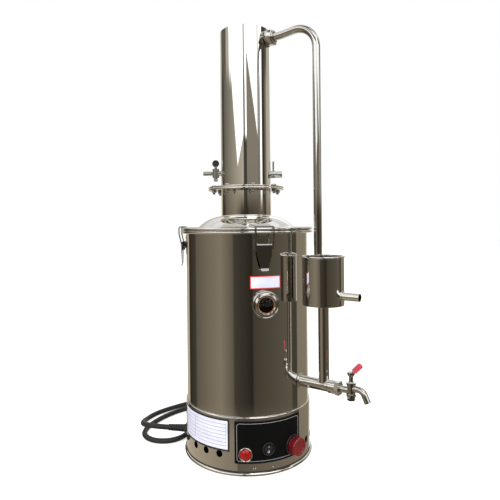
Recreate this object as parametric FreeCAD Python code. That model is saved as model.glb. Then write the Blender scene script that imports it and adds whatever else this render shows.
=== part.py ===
import FreeCAD, Part
import math
import os

os.makedirs("parts", exist_ok=True)

# Electric water still of polished sheet steel. Lengths are in millimetres and angles in degrees.
# The origin is the centre of the underside, +Z is up, and -Y is the front with the switches.

# Casing
barrel_radius = 115.0
sheet = 1.2
base_height = 98.0
base_step = 2.5
barrel_rise = 314.6
bead = 2.5
rim_width = 8.0
ring_height = 4.0
ring_bead = 3.0
ring_seat = 5.0
base_lip = 3.0
plate_slots = 12
slot_length = 18.0
slot_width = 6.0
barrel_lap = 10.0
floor_rise = 4.0
cut = 2.0
gap = 0.3
fit_gap = 0.08

# Lid and neck
seal_height = 4.2
seal_inset = 1.5
lid_sheet = 1.5
dome_radius = 91.0
dome_rise = 21.0
dome_shoulder_shares = (0.56, 0.66)
tube_radius = 47.5
neck_rise = 48.7
baffle_radius = 66.0
baffle_drop = 16.0
baffle_rise = 12.0
baffle_leg = 3.0
baffle_legs = 3

# Flange joint between neck and condenser
flange_radius = 72.0
flange_sheet = 2.5
gasket_sheet = 1.5
bolt_circle = 62.0
bolt_count = 8
bolt_turn = 11.0
bolt_radius = 2.5
bolt_flats = 8.0
bolt_head = 3.5
nut_height = 4.0
bolt_tail = 3.0

# Condenser
condenser_length = 297.8
cap_inset = 4.0
vent_radius = 5.0
vessel_radius = 38.0
vessel_drop = 28.0
vessel_crown = 19.0
riser_radius = 14.0
riser_drop = 55.0
tray_sheet = 2.0

# Side group, which all lies in one upright plane through the axis
side_azimuth = -36.0
arm_rise = 47.0
arm_radius = 10.0
arm_tail = 23.5
socket_radius = 11.5
socket_length = 13.0
collar_radius = 13.0
collar_height = 2.0
feed_radius = 9.3
feed_reach = 47.5
feed_stand = 4.0
cup_radius = 36.0
feed_rise = 139.0
cup_height = 84.5
cup_bead = 1.5
cup_lip = 4.5
drain_radius = 7.0
drain_height = 17.0
drain_length = 31.0
drain_collar = 1.4
return_radius = 7.0
return_inset = 9.5
return_drop = 21.8
return_crest = 7.0
return_rise_share = 0.327
return_bend = 40.0
return_slow_bend = 90.0
return_dip = 24.0

# Union that ties the return pipe to the condenser
boss_radius = 10.0
boss_length = 13.0
washer_radius = 15.0
washer_height = 3.5
union_flats = 26.0
union_length = 15.0

# Drain tap at the end of the arm
tap_flats = 22.0
tap_nut = 7.0
tap_neck_radius = 6.0
tap_reach = 26.5
tap_body_radius = 6.8
tap_body_drop = 9.0
tap_body_rise = 14.0
tap_rim = 1.2
tap_rim_height = 4.0
spout_radius = 5.5
spout_bore = 3.8
spout_reach = 20.0
spout_tip = 29.0
spout_drop = 14.0
spout_bend = 12.0
spout_height = 4.0
plug_radius = 4.2
stem_radius = 3.6
stem_rise = 9.0
knob_radius = 6.3
knob_height = 8.0
handle_tilt = 46.0
handle_radius = 2.6
handle_length = 18.0
grip_radius = 4.9
grip_length = 16.5
grip_start = 4.5
grip_round = 1.2
tap_nut_flats = 12.0
tap_nut_height = 6.5
tap_thread_radius = 3.0

# Water inlet cock and distillate spigot, low on the condenser
cock_azimuth = 180.0
cock_rise = 27.0
cock_place = 58.0
cock_hub_radius = 6.4
cock_hub_half = 8.5
cock_pipe_radius = 5.0
cock_nozzle_radius = 3.6
cock_nozzle_end = 82.0
cock_barb = 0.9
barb_pitch = 5.0
barb_count = 3
key_radius = 2.6
key_disc_radius = 6.7
key_disc_sheet = 2.6
key_neck = 5.0
key_tail_radius = 3.4
key_tail = 6.5
spigot_azimuth = 0.0
spigot_rise = 24.0
spigot_radius = 6.2
spigot_hub_radius = 7.0
spigot_hub_end = 56.0
spigot_end = 69.0
vent_tube_radius = 1.6
vent_tube_place = 52.5
vent_tube_rise = 25.0

# Sight window
sight_azimuth = -75.1
sight_clearance = 30.5
sight_radius = 23.5
window_radius = 14.5
sight_boss_radius = 21.0
sight_boss_bore = 16.5
sight_boss_out = 5.0
sight_gasket_sheet = 1.4
window_sheet = 3.0
window_rim = 3.5
bezel_lip = 2.6
bezel_slope = 3.0

# Draw latches
latch_azimuths = (-76.0, 51.0, 178.0)
latch_hinge_out = 5.4
latch_hinge_drop = 24.6
latch_roll = 3.9
latch_roll_turn = 40.0
latch_pin = 1.2
latch_half = 13.2
latch_end_half = 6.8
latch_length = 46.0
latch_curl = 9.0
latch_curl_turn = 45.0
latch_cheek = 15.0
latch_plate_half = 9.4
latch_plate_up = 16.0
latch_plate_down = 20.0
bail_wire = 1.1
bail_half = 15.6
bail_pivot_out = 1.2
bail_pivot_drop = 7.5
bail_bend = 3.2
bail_reach = 5.5

# Switch panel
panel_sheet = 0.8
panel_azimuths = (-101.5, -40.8)
panel_low = 21.0
panel_inset = 6.0
lamp_azimuth = -92.4
lamp_height = 37.0
lamp_radius = 11.8
lamp_out = 3.0
lamp_body_radius = 9.0
lamp_depth = 22.0
lens_crown = 4.0
switch_azimuth = -73.3
switch_height = 44.0
switch_radius = 11.2
switch_bezel = 1.9
switch_out = 2.6
switch_depth = 20.0
rocker_gap = 0.6
rocker_sheet = 5.0
rocker_tilt = 9.0
button_azimuth = -48.9
button_height = 40.5
button_radius = 17.2
button_collar = 2.6
button_out = 4.0
button_depth = 24.0
button_crown = 12.5
button_edge = 2.2
button_travel = 3.0

# Vents and screws of the base
vent_hole = 6.0
vent_height = 33.5
vent_pitch = 13.65
vent_starts = (-142.4, -27.3, 70.0)
vent_group = 3
screw_height = 11.5
screw_radius = 2.7
screw_crown = 1.6
screw_slot = 0.8
screw_shank = 1.6
screw_azimuths = (-85.1, -68.5, 34.9, 51.5, 154.9, 165.0)

# Heater and sensor in the boiler
heater_radius = 4.5
heater_ring = 74.0
heater_height = 24.0
heater_bend = 18.0
heater_sides = 8
heater_leg_azimuths = (80.0, 110.0)
heater_nut_flats = 15.0
heater_nut_height = 6.0
heater_tail = 14.0
probe_radius = 3.5
probe_place = 30.0
probe_rise = 40.0
probe_flats = 13.0
probe_head = 6.0
block_length = 52.0
block_width = 22.0
block_height = 20.0
block_place = 30.0
block_bores = 3
block_bore = 3.0

# Power cord
cord_radius = 5.0
gland_azimuth = 172.0
gland_height = 26.0
gland_flats = 20.0
gland_nut = 6.0
gland_thread = 8.0
gland_inside = 8.0
boot_radius = 7.4
boot_end_radius = 6.2
boot_length = 34.0
plug_length = 50.0
plug_half_width = 17.0
plug_half_height = 11.0
plug_round = 8.0
plug_neck = 12.0
pin_length = 17.0
pin_width = 6.2
pin_sheet = 1.6
pin_spread = 7.5
pin_lean = 30.0
pin_lift = 4.0
bend_share = 0.45

# The cord's route from the boot to the plug, as points that were chosen by hand.
cord_route = (
    (-172.8, 24.286, 26.0),
    (-194.5, 34.5, 24.5),
    (-213.0, 55.0, 19.0),
    (-221.0, 84.0, 11.0),
    (-219.5, 115.0, 5.0),
    (-206.0, 144.0, 5.0),
    (-183.0, 170.0, 5.0),
    (-154.0, 194.0, 5.0),
    (-122.0, 218.0, 5.0),
    (-85.0, 243.0, 5.0),
    (-45.0, 267.0, 5.0),
    (0.0, 289.0, 5.0),
    (43.4, 304.5, 5.0),
    (76.5, 297.0, 5.0),
    (100.0, 272.5, 5.0),
    (106.5, 239.0, 5.0),
    (94.0, 207.5, 5.0),
    (66.0, 188.0, 5.0),
    (20.0, 186.0, 5.0),
    (-28.0, 191.0, 5.0),
    (-74.0, 194.0, 5.0),
    (-115.0, 188.0, 5.0),
    (-150.0, 167.0, 5.0),
    (-177.0, 137.0, 5.0),
    (-197.0, 104.0, 5.0),
    (-209.5, 71.4, 5.0),
    (-209.5, 34.2, 5.0),
    (-183.2, 8.0, 5.0),
    (-146.0, 8.0, 5.0),
    (-120.2, 33.8, 6.5),
    (-118.5, 71.4, 8.8),
    (-105.5, 101.0, 11.0),
    (-79.0, 120.0, 11.0),
)

# Sizes that follow from the ones above
base_radius = barrel_radius + base_step
rim_radius = barrel_radius + rim_width
barrel_top = base_height + barrel_rise
lid_top = barrel_top + seal_height + lid_sheet
dome_top = lid_top + dome_rise
flange_low = dome_top + neck_rise
gasket_low = flange_low + flange_sheet
upper_low = gasket_low + gasket_sheet
flange_top = upper_low + flange_sheet
condenser_top = flange_top + condenser_length - flange_sheet
tube_bore = tube_radius - sheet
floor_height = base_height + floor_rise
hinge_place = barrel_radius + latch_hinge_out
hinge_height = barrel_top - latch_hinge_drop
bail_place = hinge_place + bail_pivot_out
bail_height = hinge_height - bail_pivot_drop
sight_height = hinge_height - latch_length - sight_clearance - sight_radius
return_height = condenser_top - return_drop
cock_height = flange_top + cock_rise
spigot_height = flange_top + spigot_rise
arm_height = base_height + arm_rise
cup_floor = arm_height + feed_rise
panel_high = base_height - panel_inset
feed_place = barrel_radius + feed_reach
arm_end = feed_place + arm_tail
tap_place = arm_end + tap_reach
return_place = feed_place - return_inset
return_rise_place = tube_radius + return_rise_share * (return_place - tube_radius)
up = FreeCAD.Vector(0, 0, 1)
centre = FreeCAD.Vector(0, 0, 0)
full_turn = 360.0
half = 0.5
hexagon = 6


def vector(x, y, z):
    return FreeCAD.Vector(x, y, z)


def direction(azimuth):
    angle = math.radians(azimuth)
    return vector(math.cos(angle), math.sin(angle), 0)


def place(azimuth, reach, height):
    return direction(azimuth) * reach + up * height


def side(reach, height):
    return place(side_azimuth, reach, height)


def turned(shape, azimuth):
    copy = shape.copy()
    copy.rotate(centre, up, azimuth)
    return copy


def ring(outer, inner, low, high):
    body = Part.makeCylinder(outer, high - low, up * low)
    return body.cut(Part.makeCylinder(inner, high - low + 2 * cut, up * (low - cut)))


def disc(radius, low, high):
    return Part.makeCylinder(radius, high - low, up * low)


def torus(reach, thickness, height):
    return Part.makeTorus(reach, thickness, up * height)


def rod(start, end, radius):
    return Part.makeCylinder(radius, (end - start).Length, start, end - start)


def radial_rod(azimuth, height, start, end, radius):
    return rod(place(azimuth, start, height), place(azimuth, end, height), radius)


def radial_ring(azimuth, height, start, end, outer, inner):
    body = radial_rod(azimuth, height, start, end, outer)
    return body.cut(radial_rod(azimuth, height, start - cut, end + cut, inner))


def radial_cone(azimuth, height, start, end, start_radius, end_radius):
    foot = place(azimuth, start, height)
    return Part.makeCone(start_radius, end_radius, end - start, foot, direction(azimuth))


def prism(flats, start, end):
    """A six-sided bar, sized across its flats."""
    corner = flats * half / math.cos(math.pi / hexagon)
    circle = Part.makeCircle(corner, start, end - start)
    points = [circle.Curve.value(math.tau / hexagon * i) for i in range(hexagon)]
    face = Part.Face(Part.makePolygon(points + points[:1]))
    return face.extrude(end - start)


def revolved(points):
    """Turns an outline of (reach, height) points about the upright axis."""
    corners = [vector(reach, 0, height) for reach, height in points]
    face = Part.Face(Part.makePolygon(corners + corners[:1]))
    return face.revolve(centre, up, full_turn)


def rounded_path(points, bends):
    """Straight runs joined by tangent arcs, one bend radius for each inner point."""
    edges = []
    start = points[0]
    for before, corner, after, bend in zip(points, points[1:], points[2:], bends):
        inward = (before - corner).normalize()
        onward = (after - corner).normalize()
        opening = inward.getAngle(onward)
        run = bend / math.tan(opening * half)
        middle = (inward + onward).normalize()
        reach = bend / math.sin(opening * half) - bend
        first = corner + inward * run
        last = corner + onward * run
        if (first - start).Length > fit_gap:
            edges.append(Part.LineSegment(start, first).toShape())
        edges.append(Part.Arc(first, corner + middle * reach, last).toShape())
        start = last
    edges.append(Part.LineSegment(start, points[-1]).toShape())
    return Part.Wire(edges)


def pipe(points, bends, radius):
    path = rounded_path(points, bends)
    circle = Part.Wire(Part.makeCircle(radius, points[0], points[1] - points[0]))
    return path.makePipeShell([circle], True, False)


def fused(shapes):
    return shapes[0].multiFuse(shapes[1:]).removeSplitter()


def save(name, shape):
    shape.exportStep("parts/" + name + ".step")


# Base

def bottom_ring():
    seat = ring(base_radius, base_radius - sheet - ring_seat, 0, ring_height)
    roll = torus(base_radius + gap, ring_bead, ring_bead)
    roll = roll.cut(disc(base_radius, ring_height, 3 * ring_bead))
    return fused([seat, roll])


def base_plate():
    radius = base_radius - sheet - ring_seat
    plate = disc(radius, 0, sheet)
    corner = vector(radius * half, -slot_width * half, -cut)
    slot = Part.makeBox(slot_length, slot_width, sheet + 2 * cut, corner)
    slots = [turned(slot, full_turn / plate_slots * i) for i in range(plate_slots)]
    return plate.cut(Part.makeCompound(slots))


def base_holes():
    start = base_radius - 3 * sheet
    end = base_radius + cut
    holes = []
    for first in vent_starts:
        for i in range(vent_group):
            holes.append(radial_rod(first + vent_pitch * i, vent_height, start, end, vent_hole))
    for azimuth in screw_azimuths:
        holes.append(radial_rod(azimuth, screw_height, start, end, screw_shank))
    holes.append(radial_rod(lamp_azimuth, lamp_height, start, end, lamp_body_radius))
    switch_hole = switch_radius - switch_bezel
    holes.append(radial_rod(switch_azimuth, switch_height, start, end, switch_hole))
    button_hole = button_radius - button_collar
    holes.append(radial_rod(button_azimuth, button_height, start, end, button_hole))
    holes.append(radial_rod(gland_azimuth, gland_height, start, end, gland_thread))
    return Part.makeCompound(holes)


def base_shell():
    wall = revolved((
        (base_radius, ring_height),
        (base_radius, base_height - sheet),
        (base_radius - sheet, base_height),
        (barrel_radius, base_height),
        (barrel_radius, base_height - sheet),
        (base_radius - sheet, base_height - sheet - base_lip),
        (base_radius - sheet, ring_height),
    ))
    return wall.cut(base_holes())


def base_screws():
    screws = []
    for azimuth in screw_azimuths:
        shank = radial_rod(azimuth, screw_height, base_radius - 3 * sheet, base_radius, screw_shank)
        head = radial_cone(azimuth, screw_height, base_radius, base_radius + screw_crown,
                           screw_radius, screw_radius - screw_slot)
        screws.append(fused([shank, head]))
    return Part.makeCompound(screws)


# Boiler

def barrel():
    low = base_height - barrel_lap
    high = barrel_top - lid_sheet
    tube = ring(barrel_radius, barrel_radius - sheet, low, high)
    start = barrel_radius - 4 * sheet
    end = barrel_radius + cut
    window = radial_rod(sight_azimuth, sight_height, start - cut, end, sight_boss_radius)
    inlet = radial_rod(side_azimuth, arm_height, start, end, arm_radius)
    return tube.cut(Part.makeCompound([window, inlet]))


def barrel_rim():
    lip = ring(rim_radius, barrel_radius - sheet, barrel_top - lid_sheet, barrel_top)
    roll = torus(rim_radius, bead, barrel_top - bead)
    return fused([lip, roll])


def heater_feet():
    return [place(azimuth, heater_ring, floor_height) for azimuth in heater_leg_azimuths]


def boiler_floor():
    plate = disc(barrel_radius - sheet, floor_height, floor_height + lid_sheet)
    low = up * -cut
    high = up * (lid_sheet + cut)
    holes = [rod(foot + low, foot + high, heater_radius) for foot in heater_feet()]
    foot = place(side_azimuth, probe_place, floor_height)
    holes.append(rod(foot + low, foot + high, probe_radius))
    return plate.cut(Part.makeCompound(holes))


def heater():
    start, end = heater_feet()
    low = up * -(heater_nut_height + heater_tail)
    high = up * heater_height
    first, last = heater_leg_azimuths
    step = (full_turn + first - last) / heater_sides
    height = floor_height + heater_height
    turns = [place(first - step * (i + half), heater_ring, height) for i in range(heater_sides)]
    points = [start + low, start + high] + turns + [end + high, end + low]
    bends = [heater_bend * half] + [heater_bend] * heater_sides + [heater_bend * half]
    tube = pipe(points, bends, heater_radius)
    nuts = []
    for foot in heater_feet():
        nuts.append(prism(heater_nut_flats, foot - up * heater_nut_height, foot))
    return fused([tube] + nuts)


def level_probe():
    foot = place(side_azimuth, probe_place, floor_height)
    head = prism(probe_flats, foot - up * probe_head, foot)
    stem = rod(foot - up * probe_head, foot + up * probe_rise, probe_radius)
    tip = Part.makeSphere(probe_radius, foot + up * probe_rise)
    return fused([head, stem, tip])


def terminal_block():
    corner = vector(-block_length * half, block_place, sheet)
    block = Part.makeBox(block_length, block_width, block_height, corner)
    bores = []
    for i in range(block_bores):
        x = block_length * ((i + half) / block_bores - half)
        start = vector(x, block_place - cut, sheet + block_height * half)
        bores.append(rod(start, start + vector(0, block_width + 2 * cut, 0), block_bore))
    return block.cut(Part.makeCompound(bores))


# Lid

def dome_face(drop):
    """Outline of the domed sheet, from its outer skin down to the inner one."""
    across, rise = dome_shoulder_shares
    width = dome_radius - tube_radius
    shoulder_reach = tube_radius + width * across
    shoulder = lid_top + dome_rise * rise
    foot = vector(dome_radius, 0, lid_top)
    middle = vector(shoulder_reach, 0, shoulder)
    top = vector(tube_radius, 0, dome_top)
    inward = vector(-drop, 0, -drop)
    inner_foot = foot + inward
    inner_top = top + up * -drop
    edges = [
        Part.Arc(foot, middle, top).toShape(),
        Part.LineSegment(top, inner_top).toShape(),
        Part.Arc(inner_top, middle + inward, inner_foot).toShape(),
        Part.LineSegment(inner_foot, foot).toShape(),
    ]
    return Part.Face(Part.Wire(edges))


def lid():
    brim = ring(rim_radius, dome_radius - lid_sheet, lid_top - lid_sheet, lid_top)
    roll = torus(rim_radius, bead, lid_top - bead)
    dome = dome_face(lid_sheet).revolve(centre, up, full_turn)
    return fused([brim, roll, dome])


def lid_seal():
    outer = rim_radius - bead - seal_inset
    inner = barrel_radius - sheet - seal_inset
    return ring(outer, inner, barrel_top, barrel_top + seal_height)


def neck():
    return ring(tube_radius, tube_bore, dome_top - lid_sheet, flange_low + flange_sheet)


def steam_baffle():
    low = lid_top - baffle_drop
    top = low + baffle_rise
    shield = revolved((
        (baffle_radius, low),
        (baffle_leg, top),
        (0, top),
        (0, top - sheet),
        (baffle_leg, top - sheet),
        (baffle_radius, low - sheet),
    ))
    reach = tube_bore + sheet * half
    share = (baffle_radius - reach) / (baffle_radius - baffle_leg)
    foot = low + baffle_rise * share - sheet
    leg = rod(vector(reach, 0, foot), vector(reach, 0, dome_top - lid_sheet), sheet * half)
    legs = [turned(leg, full_turn / baffle_legs * i) for i in range(baffle_legs)]
    return fused([shield] + legs)


# Flange joint

def bolt_places():
    return [bolt_turn + full_turn / bolt_count * i for i in range(bolt_count)]


def drilled(plate, low, high):
    holes = []
    for azimuth in bolt_places():
        start = place(azimuth, bolt_circle, low - cut)
        end = place(azimuth, bolt_circle, high + cut)
        holes.append(rod(start, end, bolt_radius))
    return plate.cut(Part.makeCompound(holes))


def lower_flange():
    return drilled(ring(flange_radius, tube_radius, flange_low, gasket_low), flange_low, gasket_low)


def flange_gasket():
    sheet_ring = ring(flange_radius - sheet, tube_bore, gasket_low, upper_low)
    return drilled(sheet_ring, gasket_low, upper_low)


def upper_flange():
    return drilled(ring(flange_radius, tube_radius, upper_low, flange_top), upper_low, flange_top)


def flange_bolts():
    bolts = []
    low = flange_low - nut_height - bolt_tail
    for azimuth in bolt_places():
        foot = place(azimuth, bolt_circle, low)
        seat = place(azimuth, bolt_circle, flange_top)
        head = prism(bolt_flats, seat, seat + up * bolt_head)
        bolts.append(fused([rod(foot, seat, bolt_radius), head]))
    return Part.makeCompound(bolts)


def flange_nuts():
    nuts = []
    for azimuth in bolt_places():
        foot = place(azimuth, bolt_circle, flange_low - nut_height)
        seat = place(azimuth, bolt_circle, flange_low)
        thread = rod(foot - up * cut, seat + up * cut, bolt_radius)
        nuts.append(prism(bolt_flats, foot, seat).cut(thread))
    return Part.makeCompound(nuts)


# Condenser

def condenser_jacket():
    tube = ring(tube_radius, tube_bore, upper_low, condenser_top)
    start = tube_bore - cut
    end = tube_radius + cut
    holes = [
        radial_rod(side_azimuth, return_height, start, end, boss_radius),
        radial_rod(cock_azimuth, cock_height, start, end, cock_pipe_radius),
        radial_rod(spigot_azimuth, spigot_height, start, end, spigot_hub_radius),
    ]
    return tube.cut(Part.makeCompound(holes))


def condenser_cap():
    high = condenser_top - cap_inset
    return ring(tube_bore, vent_radius, high - lid_sheet, high)


def tray_plate():
    return ring(tube_bore, riser_radius, upper_low, upper_low + tray_sheet)


def steam_riser():
    return ring(riser_radius, riser_radius - sheet, upper_low, condenser_top - riser_drop)


def condensing_vessel():
    low = upper_low + tray_sheet
    high = condenser_top - vessel_drop
    shoulder = high - vessel_crown
    body = revolved((
        (vessel_radius, low),
        (vessel_radius, shoulder),
        (riser_radius, high),
        (0, high),
        (0, high - sheet),
        (riser_radius, high - sheet),
        (vessel_radius - sheet, shoulder),
        (vessel_radius - sheet, low),
    ))
    far = vessel_radius + cut
    return body.cut(radial_rod(spigot_azimuth, spigot_height, 0, far, spigot_hub_radius))


# Return pipe and its union

def outlet_boss():
    end = tube_radius + boss_length
    body = radial_rod(side_azimuth, return_height, tube_bore, end, boss_radius)
    return body.cut(radial_rod(side_azimuth, return_height, 0, end + cut, return_radius))


def outlet_washer():
    start = tube_radius * half
    end = tube_radius + washer_height
    body = radial_ring(side_azimuth, return_height, start, end, washer_radius, boss_radius)
    far = washer_radius + cut
    return body.cut(disc(tube_radius, return_height - far, return_height + far))


def union_nut():
    start = tube_radius + washer_height
    end = start + union_length
    body = prism(union_flats, side(start, return_height), side(end, return_height))
    thread_end = tube_radius + boss_length
    thread = radial_rod(side_azimuth, return_height, start - cut, thread_end, boss_radius)
    bore = radial_rod(side_azimuth, return_height, start - cut, end + cut, return_radius)
    return body.cut(thread).cut(bore)


def return_pipe():
    foot = cup_floor + cup_height - return_dip
    points = [
        side(tube_bore, return_height),
        side(return_rise_place, return_height),
        side(return_place, return_height + return_crest),
        side(return_place, foot),
    ]
    bends = [return_slow_bend, return_bend]
    longer = [points[0] - direction(side_azimuth) * cut] + points[1:3] + [points[3] - up * cut]
    return pipe(points, bends, return_radius).cut(pipe(longer, bends, return_radius - sheet))


# Level cup, feed pipe and arm

def level_cup():
    low = cup_floor
    high = cup_floor + cup_height
    wall = ring(cup_radius, cup_radius - sheet, low, high)
    floor = disc(cup_radius, low, low + sheet)
    roll = torus(cup_radius, cup_bead, high - cup_bead)
    body = fused([wall, floor, roll])
    body = body.cut(disc(cup_radius - sheet, high - cup_lip, high + cut))
    body.translate(side(feed_place, 0))
    feed = rod(side(feed_place, low - cut), side(feed_place, low + sheet + cut), feed_radius)
    height = cup_floor + drain_height
    far = feed_place + cup_radius + cut
    drain = radial_rod(side_azimuth, height, feed_place, far, drain_radius + drain_collar)
    return body.cut(Part.makeCompound([feed, drain]))


def drain_nozzle():
    height = cup_floor + drain_height
    wall = feed_place + cup_radius
    start = wall - sheet
    end = wall + drain_length
    tube = radial_rod(side_azimuth, height, start, end, drain_radius)
    collar_end = wall + drain_collar
    collar = radial_rod(side_azimuth, height, start, collar_end, drain_radius + drain_collar)
    bore = radial_rod(side_azimuth, height, start - cut, end + cut, drain_radius - sheet)
    return fused([tube, collar]).cut(bore)


def feed_pipe():
    low = side(feed_place, arm_height)
    high = side(feed_place, cup_floor + sheet + feed_stand)
    tube = rod(low, high, feed_radius).cut(rod(low, high + up * cut, feed_radius - sheet))
    near = feed_place - 3 * arm_radius
    return tube.cut(radial_rod(side_azimuth, arm_height, near, arm_end, arm_radius))


def side_arm():
    start = barrel_radius - 2 * sheet
    tube = radial_rod(side_azimuth, arm_height, start, arm_end, arm_radius)
    socket_start = arm_end - socket_length
    socket = radial_rod(side_azimuth, arm_height, socket_start, arm_end, socket_radius)
    collar_start = barrel_radius * half
    collar_end = barrel_radius + collar_height
    collar = radial_rod(side_azimuth, arm_height, collar_start, collar_end, collar_radius)
    wall = disc(barrel_radius, arm_height - collar_radius - cut, arm_height + collar_radius + cut)
    collar = collar.cut(wall)
    bore = radial_rod(side_azimuth, arm_height, start - cut, arm_end + cut, arm_radius - sheet)
    inlet_end = side(feed_place, arm_height + 2 * arm_radius)
    inlet = rod(side(feed_place, arm_height), inlet_end, feed_radius - sheet)
    return fused([tube, socket, collar]).cut(bore).cut(inlet)


# Drain tap

def tap_axis(height):
    return side(tap_place, arm_height + height)


def tap_body():
    low = -tap_body_drop
    high = tap_body_rise
    rim_radius_out = tap_body_radius + tap_rim
    socket = side(arm_end, arm_height)
    tail = side(arm_end - tap_nut, arm_height)
    nut = prism(tap_flats, socket, side(arm_end + tap_nut, arm_height))
    shank = rod(tail, socket, arm_radius - sheet)
    throat = rod(socket, tap_axis(0), tap_neck_radius)
    column = rod(tap_axis(low), tap_axis(high), tap_body_radius)
    rim = rod(tap_axis(high - tap_rim_height), tap_axis(high), rim_radius_out)
    foot = rod(tap_axis(low), tap_axis(low + tap_rim_height), rim_radius_out)
    points = spout_points()
    spout = pipe(points, [spout_bend], spout_radius)
    past_end = points[2] + (points[2] - points[1]).normalize() * cut
    bore = pipe([points[0], points[1], past_end], [spout_bend], spout_bore)
    plug_hole = rod(tap_axis(low - cut), tap_axis(high + cut), plug_radius + fit_gap)
    inlet = rod(side(arm_end - tap_nut - cut, arm_height), tap_axis(0), spout_bore)
    body = fused([nut, shank, throat, column, rim, foot, spout])
    return body.cut(bore).cut(inlet).cut(plug_hole)


def spout_points():
    height = arm_height + spout_height
    return [
        side(tap_place, height),
        side(tap_place + spout_reach, height),
        side(tap_place + spout_tip, height - spout_drop - spout_radius),
    ]


def handle_line(length):
    angle = math.radians(handle_tilt)
    start = tap_axis(tap_body_rise + stem_rise + knob_height * half)
    outward = direction(side_azimuth) * (length * math.cos(angle))
    return start + outward + up * (length * math.sin(angle))


def tap_plug():
    low = -tap_body_drop - gap
    top = tap_body_rise + stem_rise
    core = rod(tap_axis(low), tap_axis(tap_body_rise + gap), plug_radius)
    thread = rod(tap_axis(low - tap_nut_height), tap_axis(low), tap_thread_radius)
    stem = rod(tap_axis(tap_body_rise + gap), tap_axis(top), stem_radius)
    knob = Part.makeCone(stem_radius, knob_radius, knob_height * half, tap_axis(top), up)
    crown = rod(tap_axis(top + knob_height * half), tap_axis(top + knob_height), knob_radius)
    lever = rod(handle_line(0), handle_line(handle_length + grip_start), handle_radius)
    body = fused([core, thread, stem, knob, crown, lever])
    height = arm_height + spout_height * half
    near = tap_place - 2 * plug_radius
    port = radial_rod(side_azimuth, height, near, near + 4 * plug_radius, spout_bore * half)
    return body.cut(port)


def tap_grip():
    start = handle_line(knob_radius + grip_start * half)
    end = handle_line(knob_radius + grip_start * half + grip_length)
    axis = (end - start).normalize()
    sleeve = rod(start, end, grip_radius)
    rims = [edge for edge in sleeve.Edges if (edge.CenterOfMass - end).Length < cut]
    sleeve = sleeve.makeFillet(grip_round, rims)
    return sleeve.cut(rod(start - axis * cut, handle_line(handle_length + grip_start), handle_radius))


def tap_bottom_nut():
    low = tap_axis(-tap_body_drop - gap - tap_nut_height)
    high = tap_axis(-tap_body_drop - gap)
    thread = rod(low - up * cut, high + up * cut, tap_thread_radius)
    return prism(tap_nut_flats, low, high).cut(thread)


# Water inlet cock and distillate spigot

def cock_axis(height):
    return place(cock_azimuth, cock_place, cock_height + height)


def inlet_cock():
    stub = radial_rod(cock_azimuth, cock_height, tube_bore, cock_place, cock_pipe_radius)
    hub = rod(cock_axis(-cock_hub_half), cock_axis(cock_hub_half), cock_hub_radius)
    nozzle = radial_rod(cock_azimuth, cock_height, cock_place, cock_nozzle_end, cock_nozzle_radius)
    barbs = []
    for i in range(barb_count):
        start = cock_nozzle_end - barb_pitch * (i + 1)
        barbs.append(radial_cone(cock_azimuth, cock_height, start, start + barb_pitch,
                                 cock_nozzle_radius + cock_barb, cock_nozzle_radius))
    body = fused([stub, hub, nozzle] + barbs)
    low = tube_bore - cut
    high = cock_nozzle_end + cut
    bore = radial_rod(cock_azimuth, cock_height, low, high, cock_nozzle_radius - sheet)
    reach = cock_hub_half + cut
    seat = rod(cock_axis(-reach), cock_axis(reach), key_tail_radius + fit_gap)
    return body.cut(bore).cut(seat)


def cock_key():
    low = -cock_hub_half - gap
    core = rod(cock_axis(low), cock_axis(cock_hub_half + gap), key_tail_radius)
    tail = rod(cock_axis(low - key_tail), cock_axis(low), key_tail_radius)
    knob = torus(key_tail_radius, sheet, 0)
    knob.translate(cock_axis(low - key_tail * half))
    stem = rod(cock_axis(cock_hub_half + gap), cock_axis(cock_hub_half + key_neck), key_radius)
    middle = cock_axis(cock_hub_half + key_neck + key_disc_radius - key_radius * half)
    thick = direction(cock_azimuth - full_turn / 4) * (key_disc_sheet * half)
    plate = rod(middle - thick, middle + thick, key_disc_radius)
    body = fused([core, tail, knob, stem, plate])
    bore = radial_rod(cock_azimuth, cock_height, 0, 2 * cock_place, cock_nozzle_radius - sheet)
    return body.cut(bore)


def distillate_spigot():
    start = vessel_radius - sheet
    tube = radial_rod(spigot_azimuth, spigot_height, start, spigot_end, spigot_radius)
    hub = radial_rod(spigot_azimuth, spigot_height, start, spigot_hub_end, spigot_hub_radius)
    foot = place(spigot_azimuth, vent_tube_place, spigot_height)
    riser = rod(foot, foot + up * vent_tube_rise, vent_tube_radius)
    low = start - cut
    high = spigot_end + cut
    bore = radial_rod(spigot_azimuth, spigot_height, low, high, spigot_radius - sheet)
    draught = rod(foot, foot + up * (vent_tube_rise + cut), vent_tube_radius * half)
    return fused([tube, hub, riser]).cut(bore).cut(draught)


# Sight window

def sight_boss():
    end = barrel_radius + sight_boss_out
    start = barrel_radius - 4 * sheet
    return radial_ring(sight_azimuth, sight_height, start, end, sight_boss_radius, sight_boss_bore)


def sight_gasket():
    start = barrel_radius + sight_boss_out
    end = start + sight_gasket_sheet
    outer = sight_boss_radius - window_rim * half
    return radial_ring(sight_azimuth, sight_height, start, end, outer, window_radius)


def sight_glass():
    start = barrel_radius + sight_boss_out + sight_gasket_sheet
    end = start + window_sheet
    return radial_rod(sight_azimuth, sight_height, start, end, window_radius + window_rim)


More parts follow.
